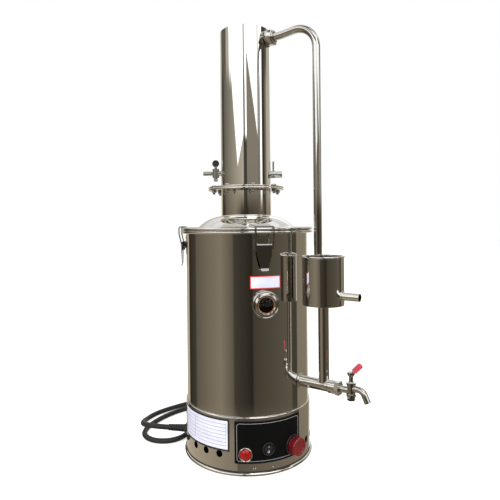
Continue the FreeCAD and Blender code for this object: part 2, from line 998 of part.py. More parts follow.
def sight_bezel():
    glass_low = barrel_radius + sight_boss_out + sight_gasket_sheet
    glass_high = glass_low + window_sheet
    low = barrel_radius + sheet * half
    high = glass_high + bezel_lip
    shoulder = high - bezel_slope
    body = radial_rod(sight_azimuth, sight_height, low, shoulder, sight_radius)
    nose = radial_cone(sight_azimuth, sight_height, shoulder, high,
                       sight_radius, sight_radius - bezel_slope)
    recess = radial_rod(sight_azimuth, sight_height, low - cut, glass_low, sight_boss_radius)
    seat = window_radius + window_rim
    pocket = radial_rod(sight_azimuth, sight_height, glass_low - cut, glass_high, seat)
    opening = radial_rod(sight_azimuth, sight_height, glass_low, high + cut, window_radius)
    return fused([body, nose]).cut(recess).cut(pocket).cut(opening)


# Draw latches, drawn with the barrel's axis behind them and X pointing away from it

def latch_point(out, across, height):
    return vector(hinge_place + out, across, hinge_height + height)


def latch_plate():
    low = hinge_height - latch_plate_down
    high = hinge_height + latch_plate_up
    skin = ring(barrel_radius + sheet, barrel_radius, low, high)
    width = 2 * latch_plate_half
    corner = vector(barrel_radius * half, -latch_plate_half, low)
    body = skin.common(Part.makeBox(barrel_radius, width, high - low, corner))
    eye = latch_roll - sheet - gap
    reach = latch_hinge_out
    ears = []
    for across in (-latch_plate_half, latch_plate_half - sheet):
        start = latch_point(0, across, 0)
        ear = rod(start, start + vector(0, sheet, 0), eye)
        web = Part.makeBox(reach, sheet, 2 * eye, latch_point(-reach, across, -2 * eye))
        ears.append(fused([ear, web]).cut(disc(barrel_radius, low, high)))
    far = latch_half + cut
    hole = rod(latch_point(0, -far, 0), latch_point(0, far, 0), latch_pin + fit_gap)
    return fused([body] + ears).cut(hole)


def latch_plates():
    plate = latch_plate()
    return Part.makeCompound([turned(plate, azimuth) for azimuth in latch_azimuths])


def lever_sheet():
    """Face of the lever: a sheet that runs down and curls away from the barrel at its end."""
    straight = latch_length - latch_curl
    across = vector(0, 2 * latch_half, 0)

    def curl_point(radius, turn):
        angle = math.radians(turn)
        out = latch_roll + latch_curl - radius * math.cos(angle)
        return latch_point(out, -latch_half, -straight - radius * math.sin(angle))

    def curl_arc(radius, first, last):
        points = [curl_point(radius, share) for share in (first, (first + last) * half, last)]
        return Part.Arc(*points).toShape()

    outer = latch_curl
    inner = latch_curl + sheet
    turn = latch_curl_turn
    top_out = latch_point(latch_roll, -latch_half, 0)
    top_in = latch_point(latch_roll - sheet, -latch_half, 0)
    edges = [
        Part.LineSegment(top_out, curl_point(outer, 0)).toShape(),
        curl_arc(outer, 0, turn),
        Part.LineSegment(curl_point(outer, turn), curl_point(inner, turn)).toShape(),
        curl_arc(inner, turn, 0),
        Part.LineSegment(curl_point(inner, 0), top_in).toShape(),
        Part.LineSegment(top_in, top_out).toShape(),
    ]
    return Part.Face(Part.Wire(edges)).extrude(across)


def lever_roll():
    """The lever's top, rolled part of the way over the hinge."""
    corner = latch_point(latch_roll - sheet, -latch_half, 0)
    strip = Part.makePlane(sheet, 2 * latch_half, corner)
    return strip.revolve(latch_point(0, 0, 0), vector(0, -1, 0), latch_roll_turn)


def lever_outline():
    """Front outline of the lever, wide at the hinge and narrow and round at the tip."""
    tip = -latch_length
    near = -latch_cheek
    round_start = tip + latch_end_half
    start = hinge_place - latch_length
    corners = [
        vector(start, -latch_half, hinge_height + latch_roll),
        vector(start, -latch_half, hinge_height + near),
        vector(start, -latch_end_half, hinge_height + round_start),
        vector(start, 0, hinge_height + tip),
        vector(start, latch_end_half, hinge_height + round_start),
        vector(start, latch_half, hinge_height + near),
        vector(start, latch_half, hinge_height + latch_roll),
    ]
    edges = [
        Part.LineSegment(corners[0], corners[1]).toShape(),
        Part.LineSegment(corners[1], corners[2]).toShape(),
        Part.Arc(corners[2], corners[3], corners[4]).toShape(),
        Part.LineSegment(corners[4], corners[5]).toShape(),
        Part.LineSegment(corners[5], corners[6]).toShape(),
        Part.LineSegment(corners[6], corners[0]).toShape(),
    ]
    return Part.Face(Part.Wire(edges)).extrude(vector(2 * latch_length, 0, 0))


def lever_cheek(across):
    corners = [
        latch_point(latch_roll - sheet, across, 0),
        latch_point(-latch_roll * half, across, 0),
        latch_point(-latch_roll * half, across, -bail_pivot_drop),
        latch_point(latch_roll - sheet, across, -latch_cheek),
    ]
    web = Part.Face(Part.makePolygon(corners + corners[:1])).extrude(vector(0, sheet, 0))
    start = latch_point(0, across, 0)
    knuckle = rod(start, start + vector(0, sheet, 0), latch_roll)
    return fused([web, knuckle])


def latch_lever():
    face = lever_sheet().common(lever_outline())
    cheeks = [lever_cheek(-latch_half), lever_cheek(latch_half - sheet)]
    pin = rod(latch_point(0, -latch_half, 0), latch_point(0, latch_half, 0), latch_pin)
    body = fused([face, lever_roll(), pin] + cheeks)
    far = latch_half + cut
    start = latch_point(bail_pivot_out, -far, -bail_pivot_drop)
    end = latch_point(bail_pivot_out, far, -bail_pivot_drop)
    return body.cut(rod(start, end, bail_wire + fit_gap))


def bail_side(mirror):
    across = bail_half * mirror
    grip = (latch_half - sheet) * mirror
    leg_out = rim_radius + bead + bail_wire + sheet
    low = barrel_top - 2 * bead - sheet
    high = lid_top + gap + bail_wire
    return [
        vector(bail_place, grip, bail_height),
        vector(bail_place, across, bail_height),
        vector(leg_out, across, low),
        vector(leg_out, across, high),
        vector(rim_radius - bail_reach, across, high),
    ]


def latch_bail():
    left = bail_side(-1)
    right = bail_side(1)
    bends = [bail_bend * half, bail_bend, bail_bend, bail_bend]
    return pipe(left + right[::-1], bends + bends[::-1], bail_wire)


# Switch panel

def control_panel():
    skin = ring(base_radius + panel_sheet, base_radius + fit_gap, panel_low, panel_high)
    first, last = panel_azimuths
    far = 2 * base_radius
    wedge = Part.makeCylinder(far, panel_high - panel_low, up * panel_low, up, last - first)
    body = skin.common(turned(wedge, first))
    start = base_radius - cut
    end = base_radius + cut
    holes = [
        radial_rod(lamp_azimuth, lamp_height, start, end, lamp_body_radius),
        radial_rod(switch_azimuth, switch_height, start, end, switch_radius - switch_bezel),
        radial_rod(button_azimuth, button_height, start, end, button_radius - button_collar),
    ]
    return body.cut(Part.makeCompound(holes))


def holder(azimuth, height, body_radius, depth, bezel_radius, out, inner, inner_depth):
    """A round switch case through the panel with a bezel outside and an open front."""
    face = base_radius + panel_sheet
    case = radial_rod(azimuth, height, face - depth, face + out * half, body_radius)
    bezel = radial_rod(azimuth, height, face - bezel_radius * half, face + out, bezel_radius)
    bezel = bezel.cut(disc(face, height - bezel_radius - cut, height + bezel_radius + cut))
    hollow = radial_rod(azimuth, height, face + out - inner_depth, face + out + cut, inner)
    return fused([case, bezel]).cut(hollow)


def lamp_holder():
    return holder(lamp_azimuth, lamp_height, lamp_body_radius, lamp_depth, lamp_radius, lamp_out,
                  lamp_body_radius - sheet, lamp_out + sheet)


def lamp_lens():
    face = base_radius + panel_sheet
    low = face - sheet
    radius = lamp_body_radius - sheet
    edge = face + lamp_out
    ball_radius = (radius ** 2 + lens_crown ** 2) / (2 * lens_crown)
    turn = math.asin(radius / ball_radius) * half
    ball_middle = edge + lens_crown - ball_radius
    reach = ball_middle + ball_radius * math.cos(turn)
    middle = vector(reach, 0, ball_radius * math.sin(turn))
    foot = vector(low, 0, 0)
    foot_rim = vector(low, 0, radius)
    rim = vector(edge, 0, radius)
    tip = vector(edge + lens_crown, 0, 0)
    edges = [
        Part.LineSegment(foot, foot_rim).toShape(),
        Part.LineSegment(foot_rim, rim).toShape(),
        Part.Arc(rim, middle, tip).toShape(),
        Part.LineSegment(tip, foot).toShape(),
    ]
    lens = Part.Face(Part.Wire(edges)).revolve(centre, vector(1, 0, 0), full_turn)
    lens.translate(up * lamp_height)
    return turned(lens, lamp_azimuth)


def switch_housing():
    case_radius = switch_radius - switch_bezel
    inner = case_radius - sheet * half
    inner_depth = rocker_sheet + switch_out + rocker_gap
    return holder(switch_azimuth, switch_height, case_radius, switch_depth, switch_radius,
                  switch_out, inner, inner_depth)


def rocker_pivot():
    return place(switch_azimuth, base_radius + panel_sheet, switch_height)


def switch_rocker():
    radius = switch_radius - switch_bezel - sheet * half - rocker_gap
    face = base_radius + panel_sheet
    low = face - rocker_sheet * half
    body = radial_rod(switch_azimuth, switch_height, low, face + rocker_sheet, radius)
    outward = direction(switch_azimuth)
    across = direction(switch_azimuth + full_turn / 4)
    far = rocker_sheet + 2 * radius
    middle = rocker_pivot() + outward * far
    span = across * (2 * radius)
    dish = rod(middle - span, middle + span, far - switch_out * half)
    body = body.cut(dish)
    body.rotate(rocker_pivot(), across, rocker_tilt)
    return body


def button_housing():
    case_radius = button_radius - button_collar
    inner_depth = button_out + button_travel + 2 * sheet
    return holder(button_azimuth, button_height, case_radius, button_depth, button_radius,
                  button_out, case_radius - sheet, inner_depth)


def button_cap():
    face = base_radius + panel_sheet
    radius = button_radius - button_collar - sheet - gap
    top = face + button_out + button_crown
    low = face - sheet
    body = radial_rod(button_azimuth, button_height, low, top - button_edge, radius)
    nose = radial_cone(button_azimuth, button_height, top - button_edge, top,
                       radius, radius - button_edge)
    return fused([body, nose])


# Power cord

def gland_point(reach):
    return place(gland_azimuth, reach, gland_height)


def cable_gland():
    nut_end = base_radius + gland_nut
    collar = prism(gland_flats, gland_point(barrel_radius), gland_point(nut_end))
    collar = collar.cut(disc(base_radius, gland_height - gland_flats, gland_height + gland_flats))
    thread = rod(gland_point(base_radius - gland_inside), gland_point(nut_end), gland_thread)
    boot = radial_cone(gland_azimuth, gland_height, nut_end, nut_end + boot_length,
                       boot_radius, boot_end_radius)
    return fused([collar, thread, boot])


def cord_points():
    start = gland_point(base_radius + gland_nut + boot_length)
    return [start] + [vector(*point) for point in cord_route]


def cord_bends(points):
    bends = []
    for before, corner, after in zip(points, points[1:], points[2:]):
        inward = before - corner
        onward = after - corner
        turn = math.pi - inward.getAngle(onward)
        bends.append(bend_share * min(inward.Length, onward.Length) / math.tan(turn * half))
    return bends


def power_cord():
    points = cord_points()
    bends = cord_bends(points)
    path = rounded_path(points, bends)
    print("cord length", round(path.Length, 1))
    print("cord bend radii", [round(bend) for bend in bends])
    body = pipe(points, bends, cord_radius)
    print("cord volume share", round(body.Volume / (math.pi * cord_radius ** 2 * path.Length), 4))
    return body


def plug_frame():
    """The cord's end and its level heading, where the plug sits."""
    points = cord_points()
    heading = points[-1] - points[-2]
    return points[-1], math.degrees(math.atan2(heading.y, heading.x))


def plug():
    tip, azimuth = plug_frame()
    width = 2 * plug_half_width
    height = 2 * plug_half_height
    corner = vector(plug_neck, -plug_half_width, -plug_half_height)
    block = Part.makeBox(plug_length, width, height, corner)
    long_edges = [edge for edge in block.Edges if abs(edge.Length - plug_length) < fit_gap]
    block = block.makeFillet(plug_round, long_edges)
    along = vector(1, 0, 0)
    tail = Part.makeCone(boot_end_radius, plug_half_height - sheet, plug_neck, centre, along)
    body = fused([block, tail])
    solids = [body]
    corner = vector(plug_neck + plug_length, -pin_sheet * half, -pin_width * half)
    pins = (
        (pin_lean, -pin_spread, pin_lift),
        (-pin_lean, pin_spread, pin_lift),
        (0, 0, -pin_lift),
    )
    for lean, across, lift in pins:
        pin = Part.makeBox(pin_length, pin_sheet, pin_width, corner)
        pin.rotate(centre, along, lean)
        pin.translate(vector(0, across, lift))
        solids.append(pin)
    whole = Part.makeCompound(solids)
    whole.rotate(centre, up, azimuth)
    whole.translate(tip)
    return whole


makers = (
    bottom_ring, base_plate, base_shell, base_screws,
    barrel, barrel_rim, boiler_floor, heater, level_probe, terminal_block,
    lid, lid_seal, neck, steam_baffle,
    lower_flange, flange_gasket, upper_flange, flange_bolts, flange_nuts,
    condenser_jacket, condenser_cap, tray_plate, steam_riser, condensing_vessel,
    outlet_boss, outlet_washer, union_nut, return_pipe,
    level_cup, drain_nozzle, feed_pipe, side_arm,
    tap_body, tap_plug, tap_grip, tap_bottom_nut,
    inlet_cock, cock_key, distillate_spigot,
    sight_boss, sight_gasket, sight_glass, sight_bezel,
    latch_plates,
    control_panel, lamp_holder, lamp_lens, switch_housing, switch_rocker, button_housing, button_cap,
    cable_gland, power_cord, plug,
)
for make in makers:
    save(make.__name__, make())

for number, azimuth in enumerate(latch_azimuths, 1):
    save("latch_lever_" + str(number), turned(latch_lever(), azimuth))
    save("latch_bail_" + str(number), turned(latch_bail(), azimuth))
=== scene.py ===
# %% [markdown]
# # A mirror-polished water still
# This lesson dresses a laboratory water still. The engineers' model is loaded first: it says
# where every piece is and what moves. Each step then gives a piece of that model a finish, or
# models the piece afresh with smoother curves and finer detail.

# %% The frame
import math

import bmesh
import bpy
from mathutils import Matrix, Vector


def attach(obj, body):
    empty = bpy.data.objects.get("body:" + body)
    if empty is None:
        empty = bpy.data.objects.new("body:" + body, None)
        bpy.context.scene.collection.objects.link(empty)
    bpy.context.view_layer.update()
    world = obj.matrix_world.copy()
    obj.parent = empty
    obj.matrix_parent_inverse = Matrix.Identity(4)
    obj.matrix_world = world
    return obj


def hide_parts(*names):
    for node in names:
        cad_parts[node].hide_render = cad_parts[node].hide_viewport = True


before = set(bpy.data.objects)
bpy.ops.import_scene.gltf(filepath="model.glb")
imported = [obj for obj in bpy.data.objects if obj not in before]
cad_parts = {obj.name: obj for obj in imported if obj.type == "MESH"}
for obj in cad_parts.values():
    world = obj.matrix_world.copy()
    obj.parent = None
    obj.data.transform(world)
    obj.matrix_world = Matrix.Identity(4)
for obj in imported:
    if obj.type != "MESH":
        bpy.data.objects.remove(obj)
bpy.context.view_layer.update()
milli = 0.001

# %% [markdown]
# ## The camera
# The photographer stood less than a metre away, at the height of the boiler's rim, and held the
# camera level. The lens is shifted and not tilted: a tilt would make the upright walls lean
# together. A very small roll is left, because the still leans by half a degree in the picture.

# %% Camera
def placed(name, data):
    """A new object that holds the data, linked to the scene."""
    thing = bpy.data.objects.new(name, data)
    bpy.context.scene.collection.objects.link(thing)
    return thing


def given(thing, **settings):
    """Sets several properties of a thing and gives it back."""
    for name, value in settings.items():
        setattr(thing, name, value)
    return thing


def spun(degrees, axis):
    return Matrix.Rotation(math.radians(degrees), 4, axis)


camera_data = given(
    bpy.data.cameras.new("camera"), sensor_width=36, lens=35.18, shift_x=0.0071, shift_y=-0.0541,
    clip_start=0.02)
camera = placed("camera", camera_data)
camera_place = Vector((0, -0.9392, 0.4261))
camera_roll = math.degrees(0.009)
camera.matrix_world = Matrix.Translation(camera_place) @ spun(camera_roll, "Y") @ spun(90, "X")
bpy.context.scene.camera = camera
print("camera", tuple(round(x, 3) for x in camera_place), "lens", camera_data.lens)

# %% [markdown]
# ## Finishes as sums
# A finish is a small graph of nodes. Written by hand, such a graph hides its arithmetic, so one
# class wraps a socket and lets Python's own signs add the Math nodes. Everything else goes
# through one method, which takes a node's type, its settings and what its sockets get.

# %% Finish tools
class Value:
    """A socket of a finish that joins in Python sums."""

    def __init__(self, board, socket):
        self.board = board
        self.socket = socket

    def sum(self, operation, first, second):
        return self.board.add("Math", {"operation": operation}, {0: first, 1: second})

    def __add__(self, other):
        return self.sum("ADD", self, other)

    def __sub__(self, other):
        return self.sum("SUBTRACT", self, other)

    def __rsub__(self, other):
        return self.sum("SUBTRACT", other, self)

    def __mul__(self, other):
        return self.sum("MULTIPLY", self, other)

    def __truediv__(self, other):
        return self.sum("DIVIDE", self, other)

    __radd__ = __add__
    __rmul__ = __mul__


class Board:
    """The nodes of one finish, or of the room around the still."""

    def __init__(self, tree):
        self.tree = tree

    def add(self, kind, settings={}, inputs={}, output=0):
        node = self.tree.nodes.new("ShaderNode" + kind)
        given(node, **settings)
        for key, value in inputs.items():
            if isinstance(value, Value):
                self.tree.links.new(value.socket, node.inputs[key])
            else:
                node.inputs[key].default_value = value
        return Value(self, node.outputs[output])

    def noise(self, scale, detail=3, stretch=(1, 1, 1)):
        """Cloudy noise on the piece's own metres, stretched along its axes."""
        place = self.add("TexCoord", output="Object")
        spread = self.add("Mapping", {}, {"Vector": place, "Scale": stretch})
        sockets = {"Vector": spread, "Scale": scale, "Detail": detail}
        return self.add("TexNoise", {}, sockets, "Fac")

    def between(self, share, low, high):
        """A colour between two colours, by a share from 0 to 1."""
        return self.add("Mix", {"data_type": "RGBA"}, {0: share, 6: low, 7: high}, 2)

    def ramp(self, share, stops):
        """A grey by a share from 0 to 1, through (position, level) stops."""
        node = self.add("ValToRGB", {}, {"Fac": share})
        elements = node.socket.node.color_ramp.elements
        while len(elements) < len(stops):
            elements.new(0.5)
        for element, (position, level) in zip(elements, stops):
            given(element, position=position, color=clear([level] * 3))
        return node

    def bump(self, height, depth, strength=1):
        return self.add("Bump", {}, {"Height": height, "Distance": depth, "Strength": strength})


def clear(colour):
    return (*colour, 1)


def new_finish(name, **fixed):
    """A material with its main shader, whose constant numbers sit on its own sockets."""
    material = bpy.data.materials.new(name)
    material.use_nodes = True
    shader = material.node_tree.nodes["Principled BSDF"]
    for key, value in fixed.items():
        shader.inputs[key.replace("_", " ")].default_value = value
    return material, Board(material.node_tree), shader


def feed(board, shader, **links):
    for key, value in links.items():
        board.tree.links.new(value.socket, shader.inputs[key.replace("_", " ")])


print("finish tools ready")

# %% [markdown]
# ## Shaping tools
# Almost every piece of a still is turned on a lathe or bent from tube, so two tools make most of
# them: one turns an outline about an axis, the other leads a ring along straight runs and bends.
# Both work in millimetres in a piece's own place, and a matrix then carries the mesh to where
# the frame says the piece is. The object itself stays at the origin.

# %% Places
side_azimuth = -36
metres = Matrix.Scale(milli, 4)


def upright(azimuth=0, reach=0, height=0):
    """A place on the plan, with the piece's own Z straight up."""
    return spun(azimuth, "Z") @ Matrix.Translation((reach, 0, height))


def outward(azimuth, height, reach=0):
    """A place on a round wall, with the piece's own Z pointing away from the axis."""
    return upright(azimuth, reach, height) @ spun(90, "Y")


print("the side fittings stand at", side_azimuth, "degrees")

# %% Small shaping tools
def verts_of(made):
    return [v for v in made if isinstance(v, bmesh.types.BMVert)]


def open_edges(bm):
    return [e for e in bm.edges if e.is_boundary]


def moved(bm, way, verts=None):
    bmesh.ops.translate(bm, vec=way, verts=verts or bm.verts)


def pulled(bm, edges):
    """Draws new faces out of the edges, and gives what was made."""
    return bmesh.ops.extrude_edge_only(bm, edges=edges)["geom"]


def sliced(bm, place, way=(1, 0, 0), clear_inner=False):
    bmesh.ops.bisect_plane(
        bm, geom=bm.verts[:] + bm.edges[:] + bm.faces[:], plane_co=place, plane_no=way,
        clear_inner=clear_inner)


def closed_up(bm):
    bmesh.ops.holes_fill(bm, edges=open_edges(bm), sides=0)


def merged(bm, dist=1e-4):
    bmesh.ops.remove_doubles(bm, verts=bm.verts, dist=dist)


def carried(bm, place):
    bmesh.ops.transform(bm, matrix=place, verts=bm.verts)


def rounded_corners(bm, corners, size, segments):
    bmesh.ops.bevel(
        bm, geom=corners, offset=size, offset_type="OFFSET", affect="VERTICES", segments=segments,
        profile=0.5, material=-1, clamp_overlap=True)


def rounded_edges(bm, sharper, size):
    """Rounds the edges whose two faces meet at more than an angle in radians."""
    edges = [e for e in bm.edges if e.is_manifold and e.calc_face_angle() > sharper]
    bmesh.ops.bevel(
        bm, geom=edges, offset=size, affect="EDGES", segments=2, profile=0.5, material=-1)


def turned_round(bm, steps):
    """Turns every edge of a bmesh all the way about its own Z."""
    bmesh.ops.spin(
        bm, geom=bm.edges[:], cent=(0, 0, 0), axis=(0, 0, 1), dvec=(0, 0, 0), angle=math.tau,
        steps=steps, use_merge=True)
    return bm


def meshed(name, bm):
    """Turns a finished bmesh into a mesh."""
    mesh = bpy.data.meshes.new(name)
    bm.to_mesh(mesh)
    bm.free()
    return mesh


def joined(first, second, place=Matrix()):
    """Puts the second bmesh into the first, carried to a place."""
    carried(second, place)
    store = meshed("store", second)
    first.from_mesh(store)
    bpy.data.meshes.remove(store)
    return first


def as_built(thing):
    """The mesh that a thing makes with its modifiers or its curve's thickness."""
    bpy.context.view_layer.update()
    graph = bpy.context.evaluated_depsgraph_get()
    return bpy.data.meshes.new_from_object(thing.evaluated_get(graph))


print("small tools ready")

# %% Shaping tools
def settle(name, bm, finish, stands_for=None, place=Matrix(),
           body="still", smooth=35):
    """Turns a finished bmesh into a piece of the still that rides on a body."""
    merged(bm)
    carried(bm, metres @ place)
    bmesh.ops.recalc_face_normals(bm, faces=bm.faces)
    mesh = meshed(name, bm)
    mesh.shade_smooth()
    mesh.set_sharp_from_angle(angle=math.radians(smooth))
    piece = placed(name, mesh)
    mesh.materials.append(finishes[finish])
    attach(piece, body)
    if stands_for:
        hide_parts(stands_for)
    return piece


def even_light(piece):
    """Lets the large faces rule the shading, so that small rounds don't bend the flat walls."""
    given(piece.modifiers.new("even", "WEIGHTED_NORMAL"), keep_sharp=True)


def turned(points, round_size=0, steps=96, closed=True, segments=3):
    """A lathe: a (reach, height) outline with rounded corners, turned about its own Z."""
    bm = bmesh.new()
    corners = [bm.verts.new((reach, 0, height)) for reach, height in points]
    for first, second in zip(corners, corners[1:] + corners[:closed]):
        bm.edges.new((first, second))
    if round_size:
        inner = [v for v in corners if len(v.link_edges) == 2 and abs(v.co.x) > 1e-6]
        rounded_corners(bm, inner, round_size, segments)
    return turned_round(bm, steps)


def wall(outer, inner, low, high):
    """The outline of a plain tube."""
    return ((outer, low), (outer, high), (inner, high), (inner, low))


def bored(piece, cutters):
    """Cuts round holes in a piece, one after the other, with a Boolean modifier."""
    for place, radius, depth in cutters:
        tool = bmesh.new()
        bmesh.ops.create_cone(
            tool, cap_ends=True, segments=64, radius1=radius, radius2=radius, depth=depth)
        carried(tool, metres @ place)
        cutter = placed("tool", meshed("tool", tool))
        bore = given(piece.modifiers.new("bore", "BOOLEAN"), operation="DIFFERENCE",
                     solver="EXACT", object=cutter)
        cut_mesh = as_built(piece)
        piece.modifiers.remove(bore)
        piece.data = cut_mesh
        bpy.data.objects.remove(cutter)
    piece.data.set_sharp_from_angle(angle=math.radians(35))


def led(start, radius, runs, sides=48):
    """A ring led along a path: a number is a straight run, and (radius, degrees) a bend.

    The path starts along X and stays in the plane of X and Z, and a bend turns to its left."""
    bm = bmesh.new()
    forward, above = Vector((1, 0, 0)), Vector((0, -1, 0))
    here = Vector(start)
    ring = bmesh.ops.create_circle(bm, cap_ends=False, segments=sides, radius=radius)["verts"]
    lean = forward.to_track_quat("Z", "Y").to_matrix().to_4x4()
    bmesh.ops.transform(bm, matrix=Matrix.Translation(here) @ lean, verts=ring)
    edges = bm.edges[:]
    for run in runs:
        bent = isinstance(run, tuple)
        if bent:
            bend, degrees = run
            left = above.cross(forward).normalized()
            centre = here + left * math.copysign(bend, degrees)
            steps = max(4, round(abs(degrees) / 5))
            made = bmesh.ops.spin(
                bm, geom=edges, cent=centre, axis=above, dvec=(0, 0, 0),
                angle=math.radians(degrees), steps=steps)["geom_last"]
            turn = spun(degrees, above)
            here = centre + turn @ (here - centre)
            forward = (turn @ forward).normalized()
        else:
            made = pulled(bm, edges)
            moved(bm, forward * run, verts_of(made))
            here = here + forward * run
        edges = [e for e in made
                 if isinstance(e, bmesh.types.BMEdge) and (bent or len(e.link_faces) == 1)]
    return bm


print("shaping tools ready")

# %% [markdown]
# ## The mains lead
# The lead is 1.2 m of round black rubber cable, 10 mm thick and fairly stiff, with a moulded
# plug. It lies on the bench behind the still in loose bends. It is a NURBS curve whose control
# points are those that the solid tube turns at, so it bends more softly than the tube does.

# %% Rubber of the lead
def soft_rubber(name, level, sheen_rough=0.55):
    """Black rubber: dull, a little dusty, with a fine leathery grain."""
    material, board, shader = new_finish(name, Specular_IOR_Level=0.38)
    dust = board.noise(38, 4)
    grain = board.noise(900, 2)
    feed(board, shader,
         Base_Color=board.between(dust, clear([level * 0.7] * 3), clear([level * 1.9] * 3)),
         Roughness=sheen_rough + 0.25 * (dust - 0.5) + 0.1 * (grain - 0.5),
         Normal=board.bump(grain, 0.00012, 0.5))
    return material


finishes = {name: soft_rubber(name, *look) for name, look in {
    "cord_rubber": (0.017, 0.5), "plug_rubber": (0.015, 0.42),
    "seal_rubber": (0.02, 0.6)}.items()}
print("rubbers:", ", ".join(finishes))

# %% The lead's curve
# Each row is a height above the bench, in metres, and the points of the route at that height.
cord_radius = 0.005
cord_rows = (
    (0.026, (-0.155967, 0.021920), (-0.1728, 0.024286)),
    (0.0245, (-0.1945, 0.0345)), (0.019, (-0.213, 0.055)), (0.011, (-0.221, 0.084)),
    (cord_radius, (-0.2195, 0.115), (-0.206, 0.144), (-0.183, 0.170), (-0.154, 0.194),
     (-0.122, 0.218), (-0.085, 0.243), (-0.045, 0.267), (0, 0.289), (0.0434, 0.3045),
     (0.0765, 0.297), (0.100, 0.2725), (0.1065, 0.239), (0.094, 0.2075), (0.066, 0.188),
     (0.020, 0.186), (-0.028, 0.191), (-0.074, 0.194), (-0.115, 0.188), (-0.150, 0.167),
     (-0.177, 0.137), (-0.197, 0.104), (-0.2095, 0.0714), (-0.2095, 0.0342),
     (-0.1832, 0.008), (-0.146, 0.008)),
    (0.0065, (-0.1202, 0.0338)), (0.0088, (-0.1185, 0.0714)),
    (0.011, (-0.1055, 0.101), (-0.079, 0.120)),
)
cord_route = [(*point, height) for height, *points in cord_rows for point in points]
lead_curve = given(
    bpy.data.curves.new("mains_lead", "CURVE"), dimensions="3D", bevel_depth=cord_radius,
    bevel_resolution=6, use_fill_caps=True)
lead_line = lead_curve.splines.new("NURBS")
lead_line.points.add(len(cord_route) - 1)
for point, place in zip(lead_line.points, cord_route):
    point.co = clear(place)
given(lead_line, order_u=3, use_endpoint_u=True, resolution_u=10)
mains_lead = placed("mains_lead", lead_curve)
lead_curve.materials.append(finishes["cord_rubber"])
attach(mains_lead, "still")
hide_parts("power_cord")
print("lead has", len(cord_route), "control points")

# %% [markdown]
# ## The room that the steel mirrors
# Polished steel has almost no colour of its own: what one sees is the room, drawn out into
# upright bands. A round wall mirrors the direction of twice its own angle, so the room is told
# by direction around the still, in rows of height. It is an imagined room of plain surfaces that
# have one of seven levels of brightness: a floor, furniture, a doorway, a pale wall and tall
# windows. Edges stay crisp in a mirror, so there is only a short step between two surfaces.

# %% Rows of the room
# A span is (its end in degrees, brightness at its start, brightness at its end), and the first
# span of each row starts at -180.
room_top = 2
mirror_share = 0.78
black, dark, grey, dim, pale, bright, window = 0.02, 0.05, 0.1, 0.2, 0.4, 0.7, 1.3
room_rows = (
    # The floor
    ((-150, pale, pale), (-20, pale, dim), (150, grey, dim), (180, bright, bright)),
    # Furniture, and the doorway on the left
    ((-140, pale, pale), (-110, black, dark), (-50, grey, dim), (-25, dim, grey),
     (10, dark, black), (90, dark, grey), (105, dark, dark), (150, dim, dim),
     (180, pale, bright)),
    # The wall under the windows
    ((-140, pale, pale), (-120, dark, dark), (-80, grey, dim), (-10, dim, pale),
     (5, dark, dark), (70, dim, dim), (80, window, window), (95, black, dark),
     (110, grey, dim), (150, pale, pale), (180, bright, bright)),
    # The windows
    ((-140, bright, pale), (-100, grey, grey), (-80, pale, pale), (-10, window, window),
     (-5, dark, dark), (55, window, window), (60, grey, grey), (80, window, window),
     (115, black, grey), (150, pale, pale), (180, bright, window)),
    # The wall over the windows
    ((-60, bright, pale), (80, grey, grey), (180, pale, bright)),
    # The ceiling
    ((-100, bright, bright), (180, window, bright)),
    # Straight overhead, where the still's own tall condenser stands
    ((-100, bright, pale), (100, dark, grey), (180, pale, bright)),
)
steps_up = ((-24, -20), (1, 5), (15, 19), (23, 27), (42, 45), (54, 59))
print("rows hold", sum(map(len, room_rows)), "spans")


def shown_level(level):
    return level / mirror_share / room_top


def row_stops(row, step=0.7):
    """Ramp stops for one row of spans, with a short step at each end of a span."""
    stops = []
    start = -180
    for end, first, last in row:
        for way, level in ((start + step, first), (end - step, last)):
            stops.append((way / 360 + 0.5, shown_level(level)))
        start = end
    return stops


def softly(board, share, start, end):
    """0 below start, 1 above end, and a soft step between."""
    sockets = {"Value": share, "From Min": start, "From Max": end}
    return board.add("MapRange", {"interpolation_type": "SMOOTHSTEP"}, sockets)


# %% [markdown]
# Two of the room's edges lean, and a lean can't be told in level rows. The tall window's lower
# edge rises to the right, and a grey roof beam narrows to a point as it goes up. Each is a mask
# made from direction and height together, and is laid over the rows.

# %% Room
room = bpy.data.worlds.new("room")
bpy.context.scene.world = room
room.use_nodes = True
sky = Board(room.node_tree)
towards = sky.add("TexCoord", output="Generated")
ways = sky.add("SeparateXYZ", {}, {"Vector": towards}).socket.node.outputs
x_way, y_way, z_way = (Value(sky, way) for way in ways)
around = x_way.sum("ARCTAN2", x_way, y_way * -1) * math.degrees(1)
rise = sky.add("Math", {"operation": "ARCSINE"}, {0: z_way}) * math.degrees(1)
share_around = around / 360 + 0.5
light = sky.ramp(share_around, row_stops(room_rows[0]))
for row, step in zip(room_rows[1:], steps_up):
    light = sky.between(softly(sky, rise, *step), light, sky.ramp(share_around, row_stops(row)))


def lay(light, level, *edges):
    """Lays one brightness over the room where every edge, a value in degrees, is above 0."""
    mask = 1
    for edge in edges:
        mask = softly(sky, edge, -0.5, 0.5) * mask
    return sky.between(mask, light, clear([shown_level(level)] * 3))


